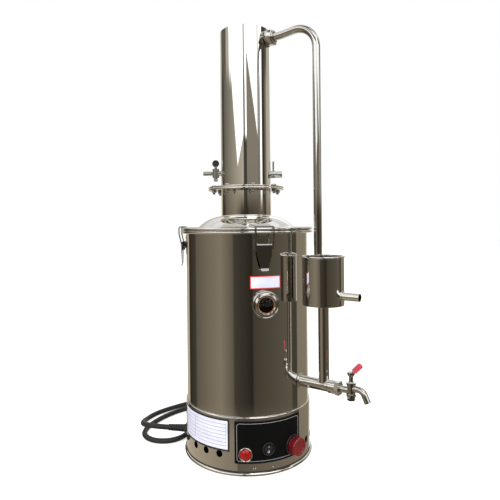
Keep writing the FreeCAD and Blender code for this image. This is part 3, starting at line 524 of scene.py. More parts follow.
# The tall window's slanting side and foot, its upright part, and the strip beside the beam.
window_left = around + 78 - (20.5 - rise) * 2.9
window_foot = (rise - 10.2) * 8 - (around + 10)
beam_left = around + (rise - 19.2) * 5.4 - 7
beam_right = (19.2 - rise) * 5.4 + 7 - around
for level, *edges in (
        (window, window_left, window_foot, -10 - around, rise - 4.6, 30 - rise),
        (window, around + 3, 5 - around, rise - 10, 30 - rise),
        (window, around - 5, beam_left, rise - 7, 56 - around),
        (dim, around - 5, beam_right, rise - 4.6, 64 - around),
        (dark, around - 60, 67 - around, rise - 4.6, 11 - rise)):
    light = lay(light, level, *edges)
brightness = sky.add("RGBToBW", {}, {"Color": light}) * room_top
low_tint, high_tint, bright_tint = (1, 0.845, 0.61, 1), (1, 0.90, 0.72, 1), (1, 0.995, 0.97, 1)
dim_tint = sky.between(softly(sky, rise, 0, 8), low_tint, high_tint)
tint = sky.between(softly(sky, brightness, 0.42, 0.85), dim_tint, bright_tint)
tinted = sky.add(
    "Mix", {"data_type": "RGBA", "blend_type": "MULTIPLY"}, {0: 1, 6: light, 7: tint}, 2)
seen_straight = sky.add("LightPath", output="Is Camera Ray")
backdrop = clear([1 / room_top] * 3)
room_shader = room.node_tree.nodes["Background"]
feed(sky, room_shader, Color=sky.between(seen_straight, tinted, backdrop))
room_shader.inputs["Strength"].default_value = room_top
bpy.context.scene.view_settings.view_transform = "Standard"
print("room has", len(room_rows), "rows of light and", len(room.node_tree.nodes), "nodes")

# %% [markdown]
# ## Floor and lamps
# The floor is a plain pale sheet. Two wide soft lamps light what isn't metal: the lead, the black
# panel and the plastic. They are kept out of the mirror, where the room alone is seen.

# %% Floor and lamps
floor_bm = bmesh.new()
bmesh.ops.create_circle(floor_bm, cap_ends=True, segments=96, radius=6)
moved(floor_bm, (0, 2, -0.0004))
floor = placed("floor", meshed("floor", floor_bm))
floor_finish, floor_board, floor_shader = new_finish(
    "floor", Roughness=0.9, Specular_IOR_Level=0, Emission_Strength=0.62,
    Emission_Color=(1, 1, 1, 1))
floor_cloud = floor_board.noise(1.2, 2)
feed(floor_board, floor_shader,
     Base_Color=floor_board.between(floor_cloud, clear([0.84] * 3), clear([0.88] * 3)))
floor.data.materials.append(floor_finish)
floor.visible_glossy = False
lamp_aim = Vector((0, 0, 0.3))
for name, place, size, power in (("ceiling_lamp", (-0.5, -0.9, 2), 1.6, 22),
                                 ("window_lamp", (1.4, -0.8, 1.2), 1.2, 9)):
    disk = given(bpy.data.lights.new(name, "AREA"), shape="DISK", size=size, energy=power)
    aim = (lamp_aim - Vector(place)).to_track_quat("-Z", "Y").to_matrix().to_4x4()
    given(placed(name, disk), matrix_world=Matrix.Translation(place) @ aim, visible_glossy=False)
print("floor and two lamps")

# %% [markdown]
# ## Mirror-polished steel
# The sheet is stainless steel, buffed to a mirror. The buffing leaves a faint haze that varies
# over the sheet, the thin sheet isn't perfectly round and rolls the mirrored bands a little, and
# fine wipe marks run along it. The haze goes to the roughness, the roll and the marks to a bump.

# %% Steel finishes
def mirror_steel(name, tone, haze, marks, roll_depth=0, stretch=(1, 1, 1)):
    material, board, shader = new_finish(name, Metallic=1)
    cloud = board.noise(9, 4)
    streak = board.noise(60, 5, stretch)
    low, high = (
        clear([tone * share * tint for tint in (1, 0.986, 0.96)]) for share in (0.96, 1.03))
    normal = board.bump(streak, 0.0002 * marks)
    if roll_depth:
        roll_shape = board.noise(7, 1, (1, 1, 0.35))
        normal = board.add(
            "Bump", {},
            {"Height": roll_shape, "Distance": roll_depth, "Strength": 1, "Normal": normal})
    feed(board, shader, Base_Color=board.between(cloud, low, high),
         Roughness=haze * (0.5 + cloud) + haze * 0.8 * (streak - 0.5), Normal=normal)
    return material


drawn = (1, 1, 0.06)
# Pipe, bezel, latch, plated brass and spring wire are darker copies of this mirror steel: their
# lower tone is painted shade for the dark parts of the room that these pieces mirror.
finishes.update((name, mirror_steel(name, *look)) for name, look in {
    "shell_steel": (0.80, 0.05, 0.05, 0.00036, drawn),
    "tube_steel": (0.82, 0.03, 0.012, 0.0003, drawn),
    "pipe_steel": (0.60, 0.04, 0.02, 0.0002, drawn),
    "lid_steel": (0.82, 0.05, 0.07, 0.0001),
    "fitting_steel": (0.64, 0.07, 0.15),
    "bezel_steel": (0.5, 0.08, 0.2),
    "latch_steel": (0.33, 0.10, 0.3),
    "plated_brass": (0.56, 0.07, 0.2),
    "spring_wire": (0.22, 0.16, 0.4),
    "bolt_steel": (0.66, 0.22, 0.6),
    "plain_steel": (0.6, 0.34, 0.8),
    "lamp_ring": (0.92, 0.12, 0.2),
}.items())
print("steel finishes ready")

# %% Other finishes
def gloss_plastic(name, colour, rough, coat=0, **fixed):
    """Moulded plastic: even colour, a faint orange-peel and slightly uneven gloss."""
    material, board, shader = new_finish(name, Coat_Weight=coat, Coat_Roughness=0.08, **fixed)
    cloud = board.noise(60, 3)
    peel = board.noise(700, 2)
    low, high = (clear([c * share for c in colour]) for share in (0.85, 1.15))
    feed(board, shader, Base_Color=board.between(cloud, low, high),
         Roughness=rough * (0.8 + 0.4 * cloud), Normal=board.bump(peel, 0.00006, 0.6))
    return material


finishes.update((name, gloss_plastic(name, *look)) for name, look in {
    "black_plastic": ((0.012, 0.012, 0.013), 0.32),
    "rocker_plastic": ((0.014, 0.014, 0.015), 0.28),
    "gland_plastic": ((0.016, 0.016, 0.016), 0.45),
    "pale_rubber": ((0.62, 0.60, 0.55), 0.6),
    "orange_rubber": ((0.36, 0.10, 0.03), 0.45),
    "terminal_plastic": ((0.05, 0.048, 0.044), 0.5),
    "red_lens": ((0.24, 0.004, 0.003), 0.12, 0.6),
    "grip_vinyl": ((0.50, 0.045, 0.075), 0.35, 0.2),
    "label_white": ((0.66, 0.67, 0.80), 0.4),
    "line_grey": ((0.22, 0.22, 0.25), 0.4),
    "label_red": ((0.80, 0.03, 0.03), 0.4),
    "label_black": ((0.02, 0.02, 0.025), 0.4),
}.items())
finishes["panel_black"] = gloss_plastic(
    "panel_black", (0.0028, 0.0028, 0.0031), 0.42, Specular_IOR_Level=0.16)
finishes["red_button"] = gloss_plastic(
    "red_button", (0.15, 0.006, 0.010), 0.12, 0.9, Transmission_Weight=0.1)
print("finishes", len(finishes))

# %% [markdown]
# ## Finishes for the model's own pieces
# Small pieces of the frame keep their own shape. Their meshes are loose triangles, so a Weld
# modifier joins them first and the faces are then smoothed up to a sharp angle.

# %% Dressing
dressing = {
    "latch_steel": "latch_lever_1 latch_lever_2 latch_lever_3 outlet_washer",
    "fitting_steel": "sight_boss outlet_boss latch_plates",
    "bezel_steel": "distillate_spigot",
    "plain_steel": "boiler_floor heater level_probe steam_baffle tray_plate steam_riser "
                   "condensing_vessel",
    "lamp_ring": "base_screws",
    "plated_brass": "tap_body tap_plug tap_bottom_nut inlet_cock cock_key",
    "spring_wire": "latch_bail_1 latch_bail_2 latch_bail_3",
    "seal_rubber": "lid_seal",
    "pale_rubber": "flange_gasket",
    # The base plate takes the dark plastic as painted shade, so that the inside of the base looks
    # dark through the vents.
    "terminal_plastic": "terminal_block base_plate",
    "plug_rubber": "plug",
    "grip_vinyl": "tap_grip",
}
for finish, nodes in dressing.items():
    for name in nodes.split():
        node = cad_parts[name]
        node.data.materials.clear()
        node.data.materials.append(finishes[finish])
        node.data.shade_smooth()
        given(node.modifiers.new("weld", "WELD"), merge_threshold=0.00002)
        given(node.modifiers.new("edges", "EDGE_SPLIT"), split_angle=math.radians(28))
print("dressed the frame")

# %% [markdown]
# ## The boiler's barrel and its rims
# The barrel is one sheet rolled into a tube. Its top edge and the lid's brim each end in a bead,
# where the sheet is curled round a wire. Holes are cut with a Boolean, which leaves a wall with
# uneven faces, so the wall is then told to shade as the true cylinder that it is.

# %% Barrel and rims
barrel_radius, rim_radius, bead_radius = 115, 123, 2.5
barrel_top, lid_top = 412.6, 418.3
rim_low = 411.1
sheet = 1.2
wall_steps = 160
barrel_inner = barrel_radius - sheet


def shade_as_cylinder(piece):
    """Gives the upright faces of a bored tube the normals of a true cylinder about Z."""
    mesh = piece.data
    normals = [corner.vector.copy() for corner in mesh.corner_normals]
    for face in mesh.polygons:
        for loop in face.loop_indices:
            at = mesh.vertices[mesh.loops[loop].vertex_index].co
            away = Vector((at.x, at.y, 0)).normalized()
            lean = away.dot(face.normal)
            if abs(face.normal.z) <= 0.3 and abs(lean) >= 0.9:
                normals[loop] = away * math.copysign(1, lean)
    mesh.normals_split_custom_set([tuple(n) for n in normals])


def bead(reach, height, radius, steps=wall_steps, sides=20):
    """A rolled edge: a small circle turned about the axis."""
    bm = bmesh.new()
    ring_place = Matrix.Translation((reach, 0, height)) @ spun(90, "X")
    bmesh.ops.create_circle(bm, segments=sides, radius=radius, matrix=ring_place)
    return turned_round(bm, steps)


sight_at = (-75.1, 288)
barrel_bm = turned(wall(barrel_radius, barrel_inner, 88, rim_low), steps=wall_steps)
barrel_wall = settle("barrel_wall", barrel_bm, "shell_steel", "barrel")
bored(barrel_wall, [(outward(*sight_at, barrel_radius), 20.9, 24)])
shade_as_cylinder(barrel_wall)
rim = turned(wall(rim_radius, barrel_inner, rim_low, barrel_top), 0.3, wall_steps)
joined(rim, bead(rim_radius, barrel_top - bead_radius, bead_radius))
settle("barrel_bead", rim, "lid_steel", "barrel_rim")
print("barrel faces", len(barrel_wall.data.polygons))

# %% [markdown]
# ## The base
# The base is a slightly wider drum that the barrel stands in. It has three groups of three round
# vent holes and three larger holes behind the panel for the lamp, the switch and the button. It
# stands on a bead of its own, with a black band where the two meet: painted shade for the gap.

# %% Base
base_radius = 117.5
base_inner = base_radius - sheet
base_points = (
    (base_radius, 4.6), (base_radius, 97), (base_radius - 1, 98), (barrel_radius + .3, 98),
    (barrel_radius + .3, 95), (base_inner, 93), (base_inner, 4.6))
base_wall = settle("base_wall", turned(base_points, 0.4, wall_steps), "shell_steel", "base_shell")
vent_azimuths = [first + 13.65 * i for first in (-142.4, -27.3, 70) for i in range(3)]
lamp_at, switch_at, button_at = (-92.4, 37), (-73.3, 44), (-48.9, 40.5)
switch_bores = [(outward(*at, base_radius), radius, 12)
                for at, radius in ((lamp_at, 9.1), (switch_at, 9.4), (button_at, 14.6))]
vent_bores = [(outward(azimuth, 33.5, base_radius), 6, 12) for azimuth in vent_azimuths]
bored(base_wall, vent_bores + switch_bores)
shade_as_cylinder(base_wall)
foot = bead(base_radius + 0.3, 3, 3)
joined(foot, turned(wall(base_inner, base_radius - 6.2, 0, 4), 0.4, wall_steps))
settle("foot_bead", foot, "lid_steel", "bottom_ring")
# A black band between drum and bead, painted shade for the dark gap where they meet.
gap_shade = turned(wall(base_radius + .6, base_radius - .4, 5, 7.9), 0.3, wall_steps)
settle("foot_gap_shade", gap_shade, "seal_rubber")
print("base faces", len(base_wall.data.polygons))

# %% [markdown]
# ## The lid and its neck
# The lid is pressed from one sheet: a flat brim with a rolled edge, then a low dome. A short
# neck is welded into the dome, and the weld is ground to a soft fillet.

# %% Lid and neck
tube_radius = 47.5
tube_inner = tube_radius - sheet
dome_radius, dome_top = 91, 439.3


def circle_through(first, middle, last):
    """The centre of the circle through three (reach, height) points."""
    (ax, ay), (bx, by), (cx, cy) = first, middle, last
    d = 2 * (ax * (by - cy) + bx * (cy - ay) + cx * (ay - by))
    a, b, c = ax * ax + ay * ay, bx * bx + by * by, cx * cx + cy * cy
    return ((a * (by - cy) + b * (cy - ay) + c * (ay - by)) / d,
            (a * (cx - bx) + b * (ax - cx) + c * (bx - ax)) / d)


def traced(bm, start, moves):
    """A line of edges: (reach, height) goes straight, (centre, degrees) goes round."""
    here = bm.verts.new((start[0], 0, start[1]))
    for first, second in moves:
        if isinstance(first, tuple):
            last = bmesh.ops.spin(
                bm, geom=[here], cent=(first[0], 0, first[1]), axis=(0, -1, 0), dvec=(0, 0, 0),
                angle=math.radians(second), steps=24)["geom_last"]
            here = verts_of(last)[0]
        else:
            there = bm.verts.new((first, 0, second))
            bm.edges.new((here, there))
            here = there


def seen_from(centre, point):
    return math.degrees(math.atan2(point[1] - centre[1], point[0] - centre[0]))


dome_start, dome_end = (dome_radius, lid_top), (tube_radius, dome_top)
shoulder = (tube_radius + 43.5 * 0.56, lid_top + 21 * 0.66)
dome_middle = circle_through(dome_start, shoulder, dome_end)
dome_turn = seen_from(dome_middle, dome_end) - seen_from(dome_middle, dome_start)
lid_bm = bmesh.new()
lid_moves = [(dome_radius + 2, lid_top), (dome_radius, lid_top + 0.2), (dome_middle, dome_turn)]
traced(lid_bm, (rim_radius + bead_radius * 0.2, lid_top), lid_moves)
merged(lid_bm)
turned_round(lid_bm, wall_steps)
lid_skin = settle("lid_dome", lid_bm, "lid_steel", "lid", smooth=40)
given(lid_skin.modifiers.new("sheet", "SOLIDIFY"), thickness=1.4 * milli, offset=-1,
      use_even_offset=True)
settle("lid_bead", bead(rim_radius, lid_top - bead_radius, bead_radius), "lid_steel")
neck_points = (
    (tube_radius + 2.2, dome_top - 0.9), (tube_radius + 0.6, dome_top + 0.4),
    (tube_radius, dome_top + 1.6), (tube_radius, 490.4), (tube_inner, 490.4),
    (tube_inner, dome_top - 1.4))
even_light(settle("neck_tube", turned(neck_points, 0.4, 128), "tube_steel", "neck"))
print("dome sweeps", round(dome_turn, 1), "degrees")

# %% [markdown]
# ## The bolted flange
# Two flat rings with a pale gasket between them join the neck to the condenser. Eight bolts hold
# them, with six-sided heads above and nuts below.

# %% Flange
flange_low, flange_top = 488, 494.5
for name, low in (("lower_flange", flange_low), ("upper_flange", flange_low + 4)):
    ring = turned(wall(72, tube_radius + .05, low, low + 2.5), 0.5, 128)
    settle(name + "_ring", ring, "lid_steel", name)


def hexagon(flats, low, high, chamfer=0.5, ends=(True, True)):
    """A six-sided bar with its corners turned off at the ends, as on a nut."""
    bm = bmesh.new()
    corner = flats * 0.5 / math.cos(math.pi / 6)
    middle = Matrix.Translation((0, 0, (low + high) / 2))
    bmesh.ops.create_cone(
        bm, cap_ends=True, segments=6, radius1=corner, radius2=corner, depth=high - low,
        matrix=middle)
    cap = [f for f in bm.faces if abs(f.normal.z) > 0.9 and ends[f.normal.z > 0]]
    bmesh.ops.inset_individual(bm, faces=cap, thickness=chamfer * 1.4, depth=0)
    for face in cap:
        way, level = (1, high) if face.normal.z > 0 else (-1, low)
        ring = [v for v in bm.verts if abs(v.co.z - level) < 1e-4 and v not in face.verts]
        moved(bm, (0, 0, -way * chamfer), ring)
    rounded_edges(bm, 0.6, 0.16)
    return bm


def many(make, places):
    """Copies of one shape at several places, as one bmesh."""
    every = bmesh.new()
    for place in places:
        joined(every, make(), place)
    return every


def flange_bolt():
    shank = ((2.5, 481), (2.5, flange_top), (0.001, flange_top), (0.001, 480.6), (2, 480.6))
    head = hexagon(8, flange_top, flange_top + 3.5, 0.5, (False, True))
    return joined(head, turned(shank, 0.2, 20))


def flange_nut():
    return hexagon(8, flange_low - 4, flange_low, 0.5, (True, False))


bolt_places = [upright(11 + 45 * i, 62) for i in range(8)]
for name, make in (("bolt", flange_bolt), ("nut", flange_nut)):
    settle("flange_" + name + "_set", many(make, bolt_places), "bolt_steel",
           "flange_" + name + "s", smooth=25)
print("flange done")

# %% [markdown]
# ## Painted shade over the floor vents
# The floor plate has vent holes of its own. A dark ring lies over them as painted shade, so that
# no light comes up from the floor.

# %% Painted shade ring
settle("vent_floor_shade", turned(wall(78, 52, 1.25, 1.6), 0.05, 72), "terminal_plastic")
print("gauze done")

# %% [markdown]
# ## The condenser
# The tall condenser is a plain tube that mirrors the whole room. Its cap sits a little below the
# tube's upper edge and has a vent hole in the middle.

# %% Condenser
condenser_top = 789.79
condenser_bm = turned(wall(tube_radius, tube_inner, 492, condenser_top), 0.45, 144)
even_light(settle("condenser_wall", condenser_bm, "tube_steel", "condenser_jacket"))
cap_points = (
    (46.3, 784.4), (46.3, 785.8), (30, 786.2), (12, 787), (5, 787), (5, 785.4), (12, 785.2))
settle("condenser_cap_disc", turned(cap_points, 0.5, 96), "lid_steel", "condenser_cap")
print("condenser done")

# %% [markdown]
# ## Bent tubes
# A bent tube has straight runs and bends in one plane. A ring led along them makes the outer
# wall and a second one the bore, and bridging their ends gives the tube its sheet thickness, so
# that its open end shows a real edge.

# %% Return pipe, arm and feed pipe
def tube_along(start, radius, runs):
    """A bent tube with an open bore, led from a start along the piece's own X and Z."""
    tube = bmesh.new()
    for size in (radius, radius - sheet):
        joined(tube, led(start, size, runs))
    merged(tube)
    rims = open_edges(tube)
    near = [e for e in rims
            if all((v.co - Vector(start)).length < radius * 1.1 for v in e.verts)]
    for group in (near, [e for e in rims if e not in near]):
        bmesh.ops.bridge_loops(tube, edges=group)
    return tube


return_height, return_climb = 768, 5.63
return_runs = [31.27, (90, return_climb), 22.79, (40, -90 - return_climb), 386.3]
return_bm = tube_along((46.5, 0, return_height), 7, return_runs)
return_piece = settle(
    "return_tube", return_bm, "pipe_steel", "return_pipe", upright(side_azimuth), smooth=40)
lowest = min(v.co.z for v in return_piece.data.vertices)
print("return tube ends at", round(lowest * 1000, 1), "mm")

arm_height, feed_place = 145, 162.5
arm_points = (
    (10, 112.7), (10, 172), (11.5, 173.2), (11.5, 185.6), (11.1, 186), (8.8, 186), (8.8, 112.7))
arm_bm = turned(arm_points, 0.35, 72)
arm_collar = ((10, 115.2), (12.6, 115.2), (12.8, 116.2), (11.4, 117.2), (10, 118.2))
joined(arm_bm, turned(arm_collar, 0.3, 72))
even_light(settle("arm_tube", arm_bm, "fitting_steel", "side_arm",
                  outward(side_azimuth, arm_height), smooth=40))


def weld_bead(name, reach, axis_height, tube, arm, thick):
    """A weld round the foot of an upright tube that stands on a lying one."""
    line = given(bpy.data.curves.new(name, "CURVE"), dimensions="3D", bevel_depth=thick,
                 bevel_resolution=3)
    spline = line.splines.new("POLY")
    count = 64
    spline.points.add(count - 1)
    for index, point in enumerate(spline.points):
        turn = index / count * math.tau
        x, y = -tube * math.sin(turn), tube * math.cos(turn)
        z = math.sqrt(arm * arm - y * y) + 0.16 * math.sin(turn * 21)
        given(point, co=(x, y, z, 1), radius=1 + 0.22 * math.sin(turn * 19))
    spline.use_cyclic_u = True
    holder = placed(name, line)
    mesh = as_built(holder)
    bpy.data.objects.remove(holder)
    weld = bmesh.new()
    weld.from_mesh(mesh)
    bpy.data.meshes.remove(mesh)
    settle(name, weld, "fitting_steel", place=upright(side_azimuth, reach, axis_height),
           smooth=60)


feed_points = ((9.3, 150.5), (9.3, 288.6), (9, 289.1), (8.1, 289.1), (8.1, 150.5))
even_light(settle("feed_tube", turned(feed_points, 0.2, 64), "tube_steel", "feed_pipe",
                  upright(side_azimuth, feed_place)))
weld_bead("feed_weld", feed_place, arm_height, 9.5, 9.9, 0.9)

# %% [markdown]
# ## The level cup
# The cup is a can with a rolled rim and a slightly rounded foot. The feed pipe comes up through
# its floor, the return pipe hangs into it, and a short nozzle on its side lets surplus water out.

# %% Level cup
cup_radius, cup_floor, cup_top = 36, 284, 368.5
cup_inner = cup_radius - sheet
cup_points = (
    (9.35, cup_floor), (cup_radius, cup_floor), (cup_radius, cup_top - 3.6),
    (cup_inner, cup_top - 3.6), (cup_inner, cup_floor + sheet), (9.35, cup_floor + sheet))
cup_bm = turned(cup_points, 0.5, 112)
joined(cup_bm, bead(cup_radius - 0.2, cup_top - 1.7, 1.7, 112, 16))
joined(cup_bm, turned(wall(cup_radius, cup_inner, cup_top - 4, cup_top - 2), 0, 112))
cup_weld = (
    (9.3, cup_floor - 0.9), (10.4, cup_floor - 0.5), (11, cup_floor + 0.1),
    (9.3, cup_floor + 0.2))
joined(cup_bm, turned(cup_weld, 0.2, 64))
even_light(settle("level_cup_can", cup_bm, "shell_steel", "level_cup",
                  upright(side_azimuth, feed_place)))
nozzle_start = feed_place + cup_radius
nozzle_points = (
    (7, nozzle_start - 1.2), (8.3, nozzle_start - 1), (8.3, nozzle_start + .7),
    (7, nozzle_start + 1.4), (7, nozzle_start + 31), (5.8, nozzle_start + 31),
    (5.8, nozzle_start - 1.2))
even_light(settle("drain_tube", turned(nozzle_points, 0.25, 56), "tube_steel", "drain_nozzle",
                  outward(side_azimuth, 301)))
print("cup is", cup_top - cup_floor, "mm tall")

# %% [markdown]
# ## Union nut of the return pipe
# A six-sided union nut pulls the return pipe onto a threaded boss on the condenser. Its corners
# are turned off at both ends and its edges are slightly worn.

# %% Union
union_bm = hexagon(26, 51, 66, 1.1)
union_place = outward(side_azimuth, return_height)
settle("union_hexagon", union_bm, "plated_brass", "union_nut", union_place @ spun(10, "Z"),
       smooth=25)
collar_points = ((7, 64.5), (10.6, 64.5), (10.6, 67.2), (9.6, 68.2), (7, 68.2))
settle("union_collar", turned(collar_points, 0.4, 48), "plated_brass", place=union_place)
print("union done")

# %% [markdown]
# ## The sight window
# A round glass lets one see the water. A stout steel bezel, turned with a bright outer step and
# a coned inner face, presses it on an orange silicone ring, which shows as a thin warm line.

# %% Window glass
# The glass is tinted dark grey as painted shade for the dim inside of the boiler; the smear noise
# varies that tint and gives the face a faint bump.
glass, glass_board, glass_shader = new_finish(
    "window_glass", Transmission_Weight=1, IOR=1.46, Roughness=0.02, Specular_IOR_Level=0.2)
smear = glass_board.noise(30, 4)
feed(glass_board, glass_shader, Normal=glass_board.bump(smear, 0.00005, 0.5),
     Base_Color=glass_board.between(smear, (0.14, 0.15, 0.15, 1), (0.24, 0.25, 0.25, 1)))
finishes["window_glass"] = glass
sight_place = outward(*sight_at)
bezel_points = (
    (23.5, 115.7), (23.5, 124.2), (22.9, 125), (21.6, 125.4), (20.6, 124.6), (18.4, 125.9),
    (17, 127), (15.6, 127), (14.5, 126), (14.5, 121.6), (18.1, 121.4), (18.1, 118), (21.1, 118),
    (21.1, 115.7))
settle("sight_bezel_ring", turned(bezel_points, 0.25, 112), "bezel_steel", "sight_bezel",
       sight_place, smooth=40)
pane_points = ((0, 121.5), (17.9, 121.5), (17.9, 124.3), (0, 124.3))
settle("sight_pane", turned(pane_points, 0.2, 72, False), "window_glass", "sight_glass",
       sight_place)
gasket_points = ((18.6, 120), (18.6, 121.4), (13.3, 121.4), (12.9, 120.7), (13.3, 120))
seal_bm = turned(gasket_points, 0.2, 72)
lip_points = ((14.4, 124.35), (14.4, 125.3), (13.5, 125), (13.3, 124.35))
joined(seal_bm, turned(lip_points, 0.15, 72))
settle("sight_seal", seal_bm, "orange_rubber", "sight_gasket", sight_place)
print("sight window done")

# %% [markdown]
# ## The black switch panel
# The panel is a thin black plate bent round the base, with round corners and a fine grey line
# just inside its edge. It is drawn flat and then wrapped onto the drum by its own width, so that
# the line and the corners keep their true shapes.

# %% Panel
panel_first, panel_last, panel_low, panel_high = -101.5, -40.8, 21, 92
panel_middle = (panel_first + panel_last) / 2
panel_reach = base_radius + 0.85
strip_width = 2


def wrapped(bm, azimuth, height, reach):
    """Bends a flat bmesh, drawn in X and Z with Y towards the drum, round the drum."""
    for v in bm.verts:
        angle = math.radians(azimuth) + v.co.x / reach
        away = reach - v.co.y
        v.co = Vector((away * math.cos(angle), away * math.sin(angle), v.co.z + height))
    return bm


def plate(width, height, corner, thick, line=None):
    """A thin plate with round corners, or only a line along its edge, cut in upright strips."""
    bm = bmesh.new()
    x, z = width / 2, height / 2
    corners = [bm.verts.new(at) for at in ((-x, 0, -z), (x, 0, -z), (x, 0, z), (-x, 0, z))]
    bm.faces.new(corners)
    rounded_corners(bm, corners, corner, 6)
    if line:
        strip = bmesh.ops.inset_individual(
            bm, faces=bm.faces[:], thickness=line, use_even_offset=True)["faces"]
        middle = [f for f in bm.faces if f not in strip]
        bmesh.ops.delete(bm, geom=middle, context="FACES")
    count = int(width / strip_width)
    for i in range(1, count):
        sliced(bm, (width * (i / count - 0.5), 0, 0))
    made = bmesh.ops.extrude_face_region(bm, geom=bm.faces[:])["geom"]
    moved(bm, (0, thick, 0), verts_of(made))
    return bm


panel_width = math.radians(panel_last - panel_first) * panel_reach
panel_height = panel_high - panel_low
panel_z = (panel_low + panel_high) / 2
panel_bm = wrapped(
    plate(panel_width, panel_height, 1.6, 0.72), panel_middle, panel_z, panel_reach)
panel_plate = settle(
    "panel_plate", panel_bm, "panel_black", "control_panel", smooth=50)
bored(panel_plate, switch_bores)
shade_as_cylinder(panel_plate)
line_bm = plate(panel_width - 7, panel_height - 7, 5, 0.1, 0.9)
wrapped(line_bm, panel_middle, panel_z, panel_reach + 0.12)
settle("panel_line", line_bm, "line_grey", smooth=50)
print("panel is", round(panel_width, 1), "mm wide")

# %% [markdown]
# ## Plates on the wall
# A rating plate with a thick black edge is stuck on the base, and a small white plate with a
# red edge on the boiler, both without words. Each is a coloured sheet with a slightly smaller
# white one on it, drawn flat and wrapped round the wall like the panel.

# %% Plates
def stuck_plate(name, first, last, low, high, reach, edge, corner, finish, slot):
    """A wrapped coloured sheet with a white sheet on it, between two directions and heights."""
    middle, height = (first + last) / 2, (low + high) / 2
    width, tall = math.radians(last - first) * reach, high - low
    for part, less, out, look in (("edge", 0, 0, (finish, slot)),
                                  ("face", 2 * edge, 0.06, ("label_white", "terminal_plastic"))):
        bm = wrapped(plate(width - less, tall - less, corner, 0.12), middle, height, reach + out)
        settle(name + "_" + part, bm, look[0], smooth=50)
    return middle, height, width - 2 * edge, tall - 2 * edge


plate_reach = base_radius + 0.16
plate_middle, plate_height, face_width, face_tall = stuck_plate(
    "rating_plate", -165, -105.8, 39.2, 94, plate_reach, 3.3, 0.4, "label_black",
    "black_panel")
rules, rule = bmesh.new(), 0.42
for index in range(1, 8):
    height = plate_height + face_tall * (index / 8 - 0.5)
    row = plate(face_width - 6, rule, 0.1, 0.06)
    joined(rules, wrapped(row, plate_middle, height, plate_reach + 0.1))
for share in (-0.5, -0.14, 0.5):
    strip = plate(rule, face_tall * 0.75 + rule, 0.1, 0.06)
    moved(strip, (share * (face_width - 6), 0, 0))
    joined(rules, wrapped(strip, plate_middle, plate_height, plate_reach + 0.1))
settle("rating_rules", rules, "label_black", smooth=50)
stuck_plate(
    "small_plate", -87.4, -60.4, 314.4, 335.8, barrel_radius + 0.14, 1.5, 0.3, "label_red",
    "lamp_red")
print("rating plate face", round(face_width, 1), "by", round(face_tall, 1), "mm")

# %% [markdown]
# ## The signal lamp
# The lamp has a thin bright ring, and a lens moulded with flat facets so that it glitters. An
# icosphere has such facets by nature: its cap is kept, and it is shaded flat.

# %% Lamp
panel_face = base_radius + 0.8
lamp_place = outward(*lamp_at)
ring_points = (
    (12, 117.3), (12, 119.6), (11.7, 120.8), (11.1, 121.2), (10.5, 120.9), (10.3, 120.2),
    (10.3, 117), (9, 116.6), (9, 97), (7.9, 97), (7.9, 116), (8.6, 116), (10, 116))
settle("lamp_bezel", turned(ring_points, 0.12, 72), "lamp_ring", "lamp_holder", lamp_place,
       smooth=40)


def faceted_cap(radius, crown, foot):
    """The cap of a faceted ball with a short straight skirt under it."""
    ball = (radius ** 2 + crown ** 2) / (2 * crown)
    bm = bmesh.new()
    bmesh.ops.create_icosphere(bm, subdivisions=3, radius=ball)
    sliced(bm, (0, 0, ball - crown), (0, 0, 1), True)
    moved(bm, (0, 0, foot + crown - ball))
    moved(bm, (0, 0, -3), verts_of(pulled(bm, open_edges(bm))))
    closed_up(bm)
    return bm


settle("lamp_lens_cap", faceted_cap(10.2, 3.6, 120.3), "red_lens", "lamp_lens", lamp_place,
       smooth=5)
print("lamp done")

# %% [markdown]
# ## The rocker switch
# A round rocker sits in a black bezel. Its dished face carries the usual marks: a bar for on and
# a ring for off. The face's points and the marks are laid onto one lying cylinder.

# %% Rocker
switch_place = outward(*switch_at)
bezel_points = (
    (11.2, 117.3), (11.2, 119.8), (10.6, 120.8), (9.5, 121), (8.9, 120.5), (8.7, 119.6),
    (8.7, 110), (9.2, 110), (9.2, 116.4), (10.4, 116.9))
settle("switch_bezel", turned(bezel_points, 0.2, 72), "black_plastic", "switch_housing",
       switch_place, smooth=40)
dish_radius, dish_middle = 19.9, panel_face + 21.2


def dished(bm, lift=0):
    """Lays the points onto the rocker's lying dish."""
    for v in bm.verts:
        v.co.z = dish_middle - math.sqrt(dish_radius ** 2 - v.co.x ** 2) + lift
    return bm


rocker_bm = bmesh.new()
bmesh.ops.create_circle(rocker_bm, cap_ends=True, segments=72, radius=7.9)
for step in range(-7, 8):
    sliced(rocker_bm, (step, 0, 0))
dished(rocker_bm)
for v in verts_of(pulled(rocker_bm, open_edges(rocker_bm))):
    v.co.z = panel_face - 2.4
closed_up(rocker_bm)
rounded_edges(rocker_bm, 0.8, 0.35)
pivot = Matrix.Translation((0, 0, panel_face))
tilted = switch_place @ pivot @ spun(9, "Y") @ pivot.inverted()
settle("rocker_key", rocker_bm, "rocker_plastic", "switch_rocker", tilted,
       body="rocker", smooth=40)
marks = bmesh.new()
for radius in (1.25, 1.75):
    bmesh.ops.create_circle(marks, segments=28, radius=radius)
bmesh.ops.bridge_loops(marks, edges=marks.edges[:])
moved(marks, (4.6, 0, 0))
bar = bmesh.new()
bmesh.ops.create_grid(bar, x_segments=6, y_segments=1, size=0.5)
bmesh.ops.scale(bar, vec=(3.2, 0.55, 1), verts=bar.verts)
moved(bar, (-4.2, 0, 0))
joined(marks, bar)
dished(marks, 0.04)
settle("rocker_marks", marks, "label_white", place=tilted,
       body="rocker")
print("rocker done")

# %% [markdown]
# ## The start button
# A large push button of dark red translucent plastic stands in a low black collar. Its face has
# a raised rim, and the ribs of its side are made by pulling upright strips inwards.

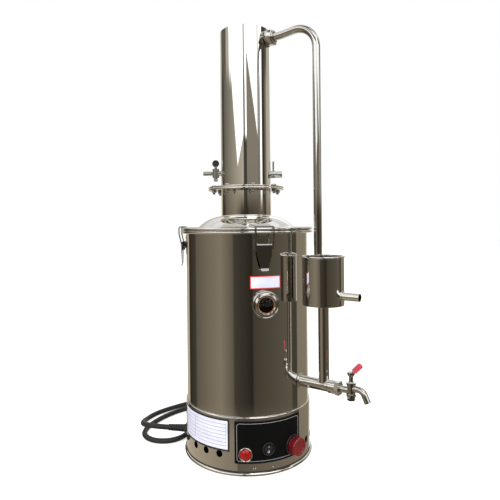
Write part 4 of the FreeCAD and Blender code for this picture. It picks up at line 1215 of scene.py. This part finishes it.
# %% Button
button_place = outward(*button_at)
collar_outline = (
    (17.2, 116.6), (17.2, 118.9), (16.6, 119.6), (14.6, 119.8), (13.7, 119.4), (13.7, 96),
    (14.5, 96), (14.5, 115.6))
settle("button_collar", turned(collar_outline, 0.25, 96), "black_plastic", "button_housing",
       button_place, smooth=40)
button_outline = (
    (12.9, 117.4), (12.9, 123.2), (15.9, 123.2), (15.9, 132.6), (15.2, 134), (13.8, 134.7),
    (12.2, 134.5), (11.4, 133.2), (11, 132.7), (4, 133.3), (0, 133.4))
button_bm = turned(button_outline, 0.35, 144, False, 2)
for v in button_bm.verts:
    if math.hypot(v.co.x, v.co.y) > 15.6 and 123.4 < v.co.z < 132.8:
        if round(math.degrees(math.atan2(v.co.y, v.co.x)) / 2.5) % 4 in (0, 1):
            v.co.x *= 0.965
            v.co.y *= 0.965
merged(button_bm, 1e-3)
closed_up(button_bm)
settle("start_button", button_bm, "red_button", "button_cap", button_place,
       body="button", smooth=30)
print("button done")

# %% [markdown]
# ## Latches
# Each latch plate is riveted to the boiler with two small rivets that show above its lever.

# %% Rivets
rivet_points = (
    (0, 117.2), (0.9, 117.1), (1.5, 116.7), (1.7, 116.1), (1.7, 115.6), (0, 115.6))
latch_azimuths = (-76, 51, 178)
rivets = bmesh.new()
for azimuth in latch_azimuths:
    for across in (-5.6, 5.6):
        turn = math.degrees(across / barrel_radius)
        joined(rivets, turned(rivet_points, 0.1, 20, False), outward(azimuth + turn, 399))
settle("latch_rivets", rivets, "spring_wire")
print("rivets at", len(latch_azimuths), "latches")

# %% [markdown]
# ## Cable gland and boot
# The lead enters through a six-sided gland nut, and a ribbed rubber boot that tapers towards the
# lead keeps it from kinking. The ribs are grooves in the lathe's outline.

# %% Gland
gland_bm = hexagon(20, 117.3, 123.5, 0.8)
boot_outline = [(0, 122), (7.4, 123.3)]
for step in range(9):
    along = 125.5 + 3.2 * step
    reach = 7.4 - 1.2 * (along - 123.5) / 34
    boot_outline += [(reach, along), (reach, along + 1.4), (reach - 0.9, along + 1.7),
                     (reach - 0.9, along + 2.9)]
boot_outline += [(6.25, 154.6), (6.2, 157.2), (5.3, 157.5), (0, 157.5)]
joined(gland_bm, turned(boot_outline, 0.2, 64, False))
settle("gland_boot", gland_bm, "gland_plastic", "cable_gland", outward(172, 26),
       smooth=40)
print("gland done")
